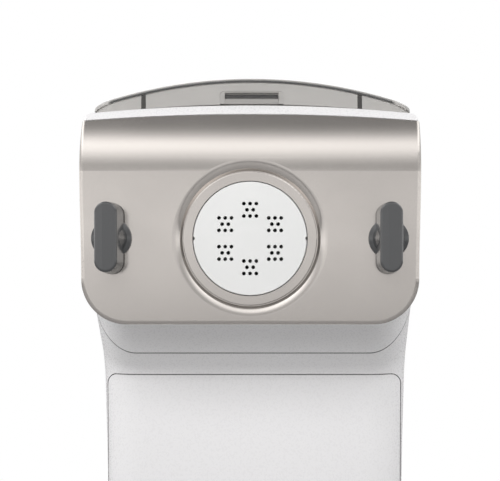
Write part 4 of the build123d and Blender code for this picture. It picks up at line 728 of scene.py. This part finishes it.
@dataclass
class ControlPanel:
    """Marks on the control panel: a printed sign on each button, and two figures in the display, painted
    pale in place of the glow of lit segments.
    """

    ink: Colour = (0.10, 0.10, 0.10)
    # pale colour painted on the display figures in place of the glow of lit segments
    lit: Colour = (0.75, 0.80, 0.82)
    figures: tuple[int, int] = (1, 2)
    figure_pitch: float = 0.0075
    drawing: SignDrawing = SignDrawing()

    def build(self) -> None:
        """Makes every print."""
        for sign in Sign:
            button, body = f"button_{sign.value}", f"{sign.value}_button"
            PrintAndGlow(f"sign_{sign.value}", button, body, self.drawing.strokes(sign), self.ink).build()
        half_pitch = self.figure_pitch / 2.0
        strokes = []
        for across, value in zip((-half_pitch, half_pitch), self.figures):
            strokes += Digit(value, (across, 0.0)).strokes()
        # painted glow: the lit figures get a pale colour, not light of their own
        PrintAndGlow("display_figures", "display_window", "root", strokes, self.lit).build()


@dataclass
class Softbox:
    """One large soft lamp that faces a point; reflections show the surround instead."""

    name: str
    place: Place
    aim: Place
    width: float
    height: float
    radiance: float

    def build(self) -> bpy.types.Object:
        """Makes the lamp.

        Returns:
            The lamp's object.
        """
        light = bpy.data.lights.new(self.name, "AREA")
        light.shape = "RECTANGLE"
        light.size, light.size_y = self.width, self.height
        light.energy = self.radiance * math.pi * self.width * self.height
        lamp = bpy.data.objects.new(self.name, light)
        lamp.location = self.place
        way = Vector(self.aim) - Vector(self.place)
        lamp.rotation_euler = way.to_track_quat("-Z", "Y").to_euler()
        lamp.visible_glossy = False
        lamp.visible_transmission = False
        bpy.context.scene.collection.objects.link(lamp)
        LOG.info("lamp %s", self.name)
        return lamp


@dataclass
class Surround:
    """White room around the object: plain white to the eye, graded in reflections and as light.

    Places along its stops are a direction's height or its way across, from -1 to 1, beside a strength.
    """

    by_height: Stops = (
        (-1.0, 0.56),
        (-0.16, 0.60),
        (-0.07, 0.66),
        (-0.02, 0.80),
        (0.05, 1.14),
        (0.11, 0.94),
        (0.18, 0.58),
        (0.30, 0.66),
        (0.41, 1.00),
        (0.53, 1.50),
        (0.66, 1.80),
        (0.75, 1.55),
        (0.83, 0.95),
        (0.90, 0.48),
        (0.96, 0.24),
        (1.0, 0.18),
    )
    by_side: Stops = (
        (-1.0, 1.25),
        (-0.45, 1.35),
        (-0.15, 1.06),
        (0.0, 0.98),
        (0.12, 0.92),
        (0.30, 1.0),
        (0.5, 1.2),
        (1.0, 1.2),
    )
    light_by_side: Stops = ((-1.0, 2.7), (-0.5, 0.02), (0.5, 0.02), (1.0, 2.7))
    strongest: float = 2.0  # a stop's colour holds its strength as a share of this

    def grade(self, nodes: Nodes, source: Socket, stops: Stops) -> Socket:
        """Adds a smooth curve through the given stops.

        Args:
            nodes: The world's nodes.
            source: Where along the stops to read.
            stops: Pairs of place and strength, in rising order of place.

        Returns:
            The strength there.
        """
        first, last = stops[0][0], stops[-1][0]
        ramp = nodes.add("ValToRGB")
        ramp.color_ramp.interpolation = "CARDINAL"
        elements = ramp.color_ramp.elements
        while len(elements) < len(stops):
            elements.new(0.5)
        for element, (place, strength) in zip(elements, stops):
            share = strength / self.strongest
            element.position = (place - first) / (last - first)
            element.color = opaque((share, share, share))
        nodes.lead(nodes.rescale(source, (first, last)), ramp.inputs["Fac"])
        return nodes.maths("MULTIPLY", ramp.outputs["Color"], self.strongest)

    def background(self, nodes: Nodes, strength: Socket | None = None) -> Socket:
        """Adds a white background.

        Args:
            nodes: The world's nodes.
            strength: Its strength, where it isn't plain white.

        Returns:
            The background.
        """
        node = nodes.add("Background")
        node.inputs["Color"].default_value = opaque(WHITE)
        if strength is not None:
            nodes.lead(strength, node.inputs["Strength"])
        return node.outputs["Background"]

    def build(self) -> bpy.types.World:
        """Makes the world.

        Returns:
            The world.
        """
        world = bpy.data.worlds.new("studio")
        bpy.context.scene.world = world
        world.use_nodes = True
        nodes = Nodes(world.node_tree)
        nodes.tree.nodes.clear()
        across, _, up = nodes.axes(nodes.add("TexCoord").outputs["Generated"])
        mirrored = nodes.maths(
            "MULTIPLY", self.grade(nodes, up, self.by_height), self.grade(nodes, across, self.by_side)
        )
        light = self.background(nodes, self.grade(nodes, across, self.light_by_side))
        mirror = self.background(nodes, mirrored)
        cast = nodes.either(nodes.add("LightPath").outputs["Is Glossy Ray"], light, mirror)
        final = nodes.either(nodes.seen(), cast, self.background(nodes))
        nodes.lead(final, nodes.add("OutputWorld").inputs["Surface"])
        LOG.info("surround %s", world.name)
        return world


@dataclass
class Floor:
    """Plain pale floor: it takes the shadow in front of the object, and is white further out."""

    half: float = 3.0
    middle: Place = (0.0, -0.13, 0.0)
    shadow: Point = (0.10, 0.19)
    tone: float = 0.85
    bounce: float = 0.42
    roughness: float = 0.8

    def build(self) -> bpy.types.Object:
        """Makes the floor.

        Returns:
            The floor's object.
        """
        half = self.half
        corners = [(-half, -half, 0.0), (half, -half, 0.0), (half, half, 0.0), (-half, half, 0.0)]
        mesh = bpy.data.meshes.new("floor")
        mesh.from_pydata(corners, [], [(0, 1, 2, 3)])
        floor = bpy.data.objects.new("floor", mesh)
        bpy.context.scene.collection.objects.link(floor)
        mesh.materials.append(self.finish())
        LOG.info("floor")
        return floor

    def finish(self) -> bpy.types.Material:
        """Makes the floor's material: a tone for the eye, a darker one for light that bounces off it.

        Returns:
            The material.
        """
        shader = Shader("floor")
        shader.set(Roughness=self.roughness)
        bounced, shown = (self.bounce,) * 3, (self.tone,) * 3
        tone = shader.blend(shader.add("LightPath").outputs["Is Camera Ray"], bounced, shown)
        shader.lead(tone, shader.surface.inputs["Base Color"])
        distance = shader.add("VectorMath")
        distance.operation = "DISTANCE"
        distance.inputs[1].default_value = self.middle
        shader.lead(shader.place, distance.inputs[0])
        fade = shader.rescale(distance.outputs["Value"], self.shadow, way="SMOOTHSTEP")
        white = shader.add("Emission")
        white.inputs["Color"].default_value = opaque(WHITE)
        far = shader.maths("MULTIPLY", fade, shader.seen())
        ground = shader.either(far, shader.surface.outputs["BSDF"], white.outputs["Emission"])
        shader.lead(ground, shader.tree.nodes["Material Output"].inputs["Surface"])
        return shader.material


@dataclass
class Studio:
    """Surround, floor, soft lamps and the camera."""

    surround: Surround = field(default_factory=Surround)
    floor: Floor = field(default_factory=Floor)
    eye: Place = (0.0275, -0.8475, 0.164)
    lens: float = 80.5
    sensor: float = 36.0
    shift: Point = (-0.088, 0.095)
    lamps: tuple[Softbox, ...] = (
        Softbox("key_softbox", (-0.20, -1.35, 0.95), (0.0, -0.1, 0.12), 1.8, 0.9, 3.7),
        Softbox("rear_softbox", (0.3, 1.35, 0.95), (0.0, 0.1, 0.12), 1.6, 0.9, 1.6),
    )

    def build_camera(self) -> bpy.types.Object:
        """Makes the camera, level and looking straight at the front.

        Returns:
            The camera's object.
        """
        data = bpy.data.cameras.new("camera")
        data.lens = self.lens
        data.sensor_width = self.sensor
        data.shift_x, data.shift_y = self.shift
        camera = bpy.data.objects.new("camera", data)
        camera.location = self.eye
        camera.rotation_euler = (math.radians(90.0), 0.0, 0.0)
        bpy.context.scene.collection.objects.link(camera)
        bpy.context.scene.camera = camera
        LOG.info("camera")
        return camera

    def build(self) -> None:
        """Sets up the whole studio."""
        bpy.context.scene.view_settings.view_transform = "Standard"
        self.surround.build()
        self.floor.build()
        for lamp in self.lamps:
            lamp.build()
        self.build_camera()


def main() -> None:
    """Builds the finishes, the pieces and the studio in order."""
    logging.basicConfig(level=logging.INFO, format="%(name)s: %(message)s")
    wardrobe = Wardrobe()
    wardrobe.build()
    wardrobe.dress()
    ControlPanel().build()
    Studio().build()


if __name__ == "__main__":
    main()
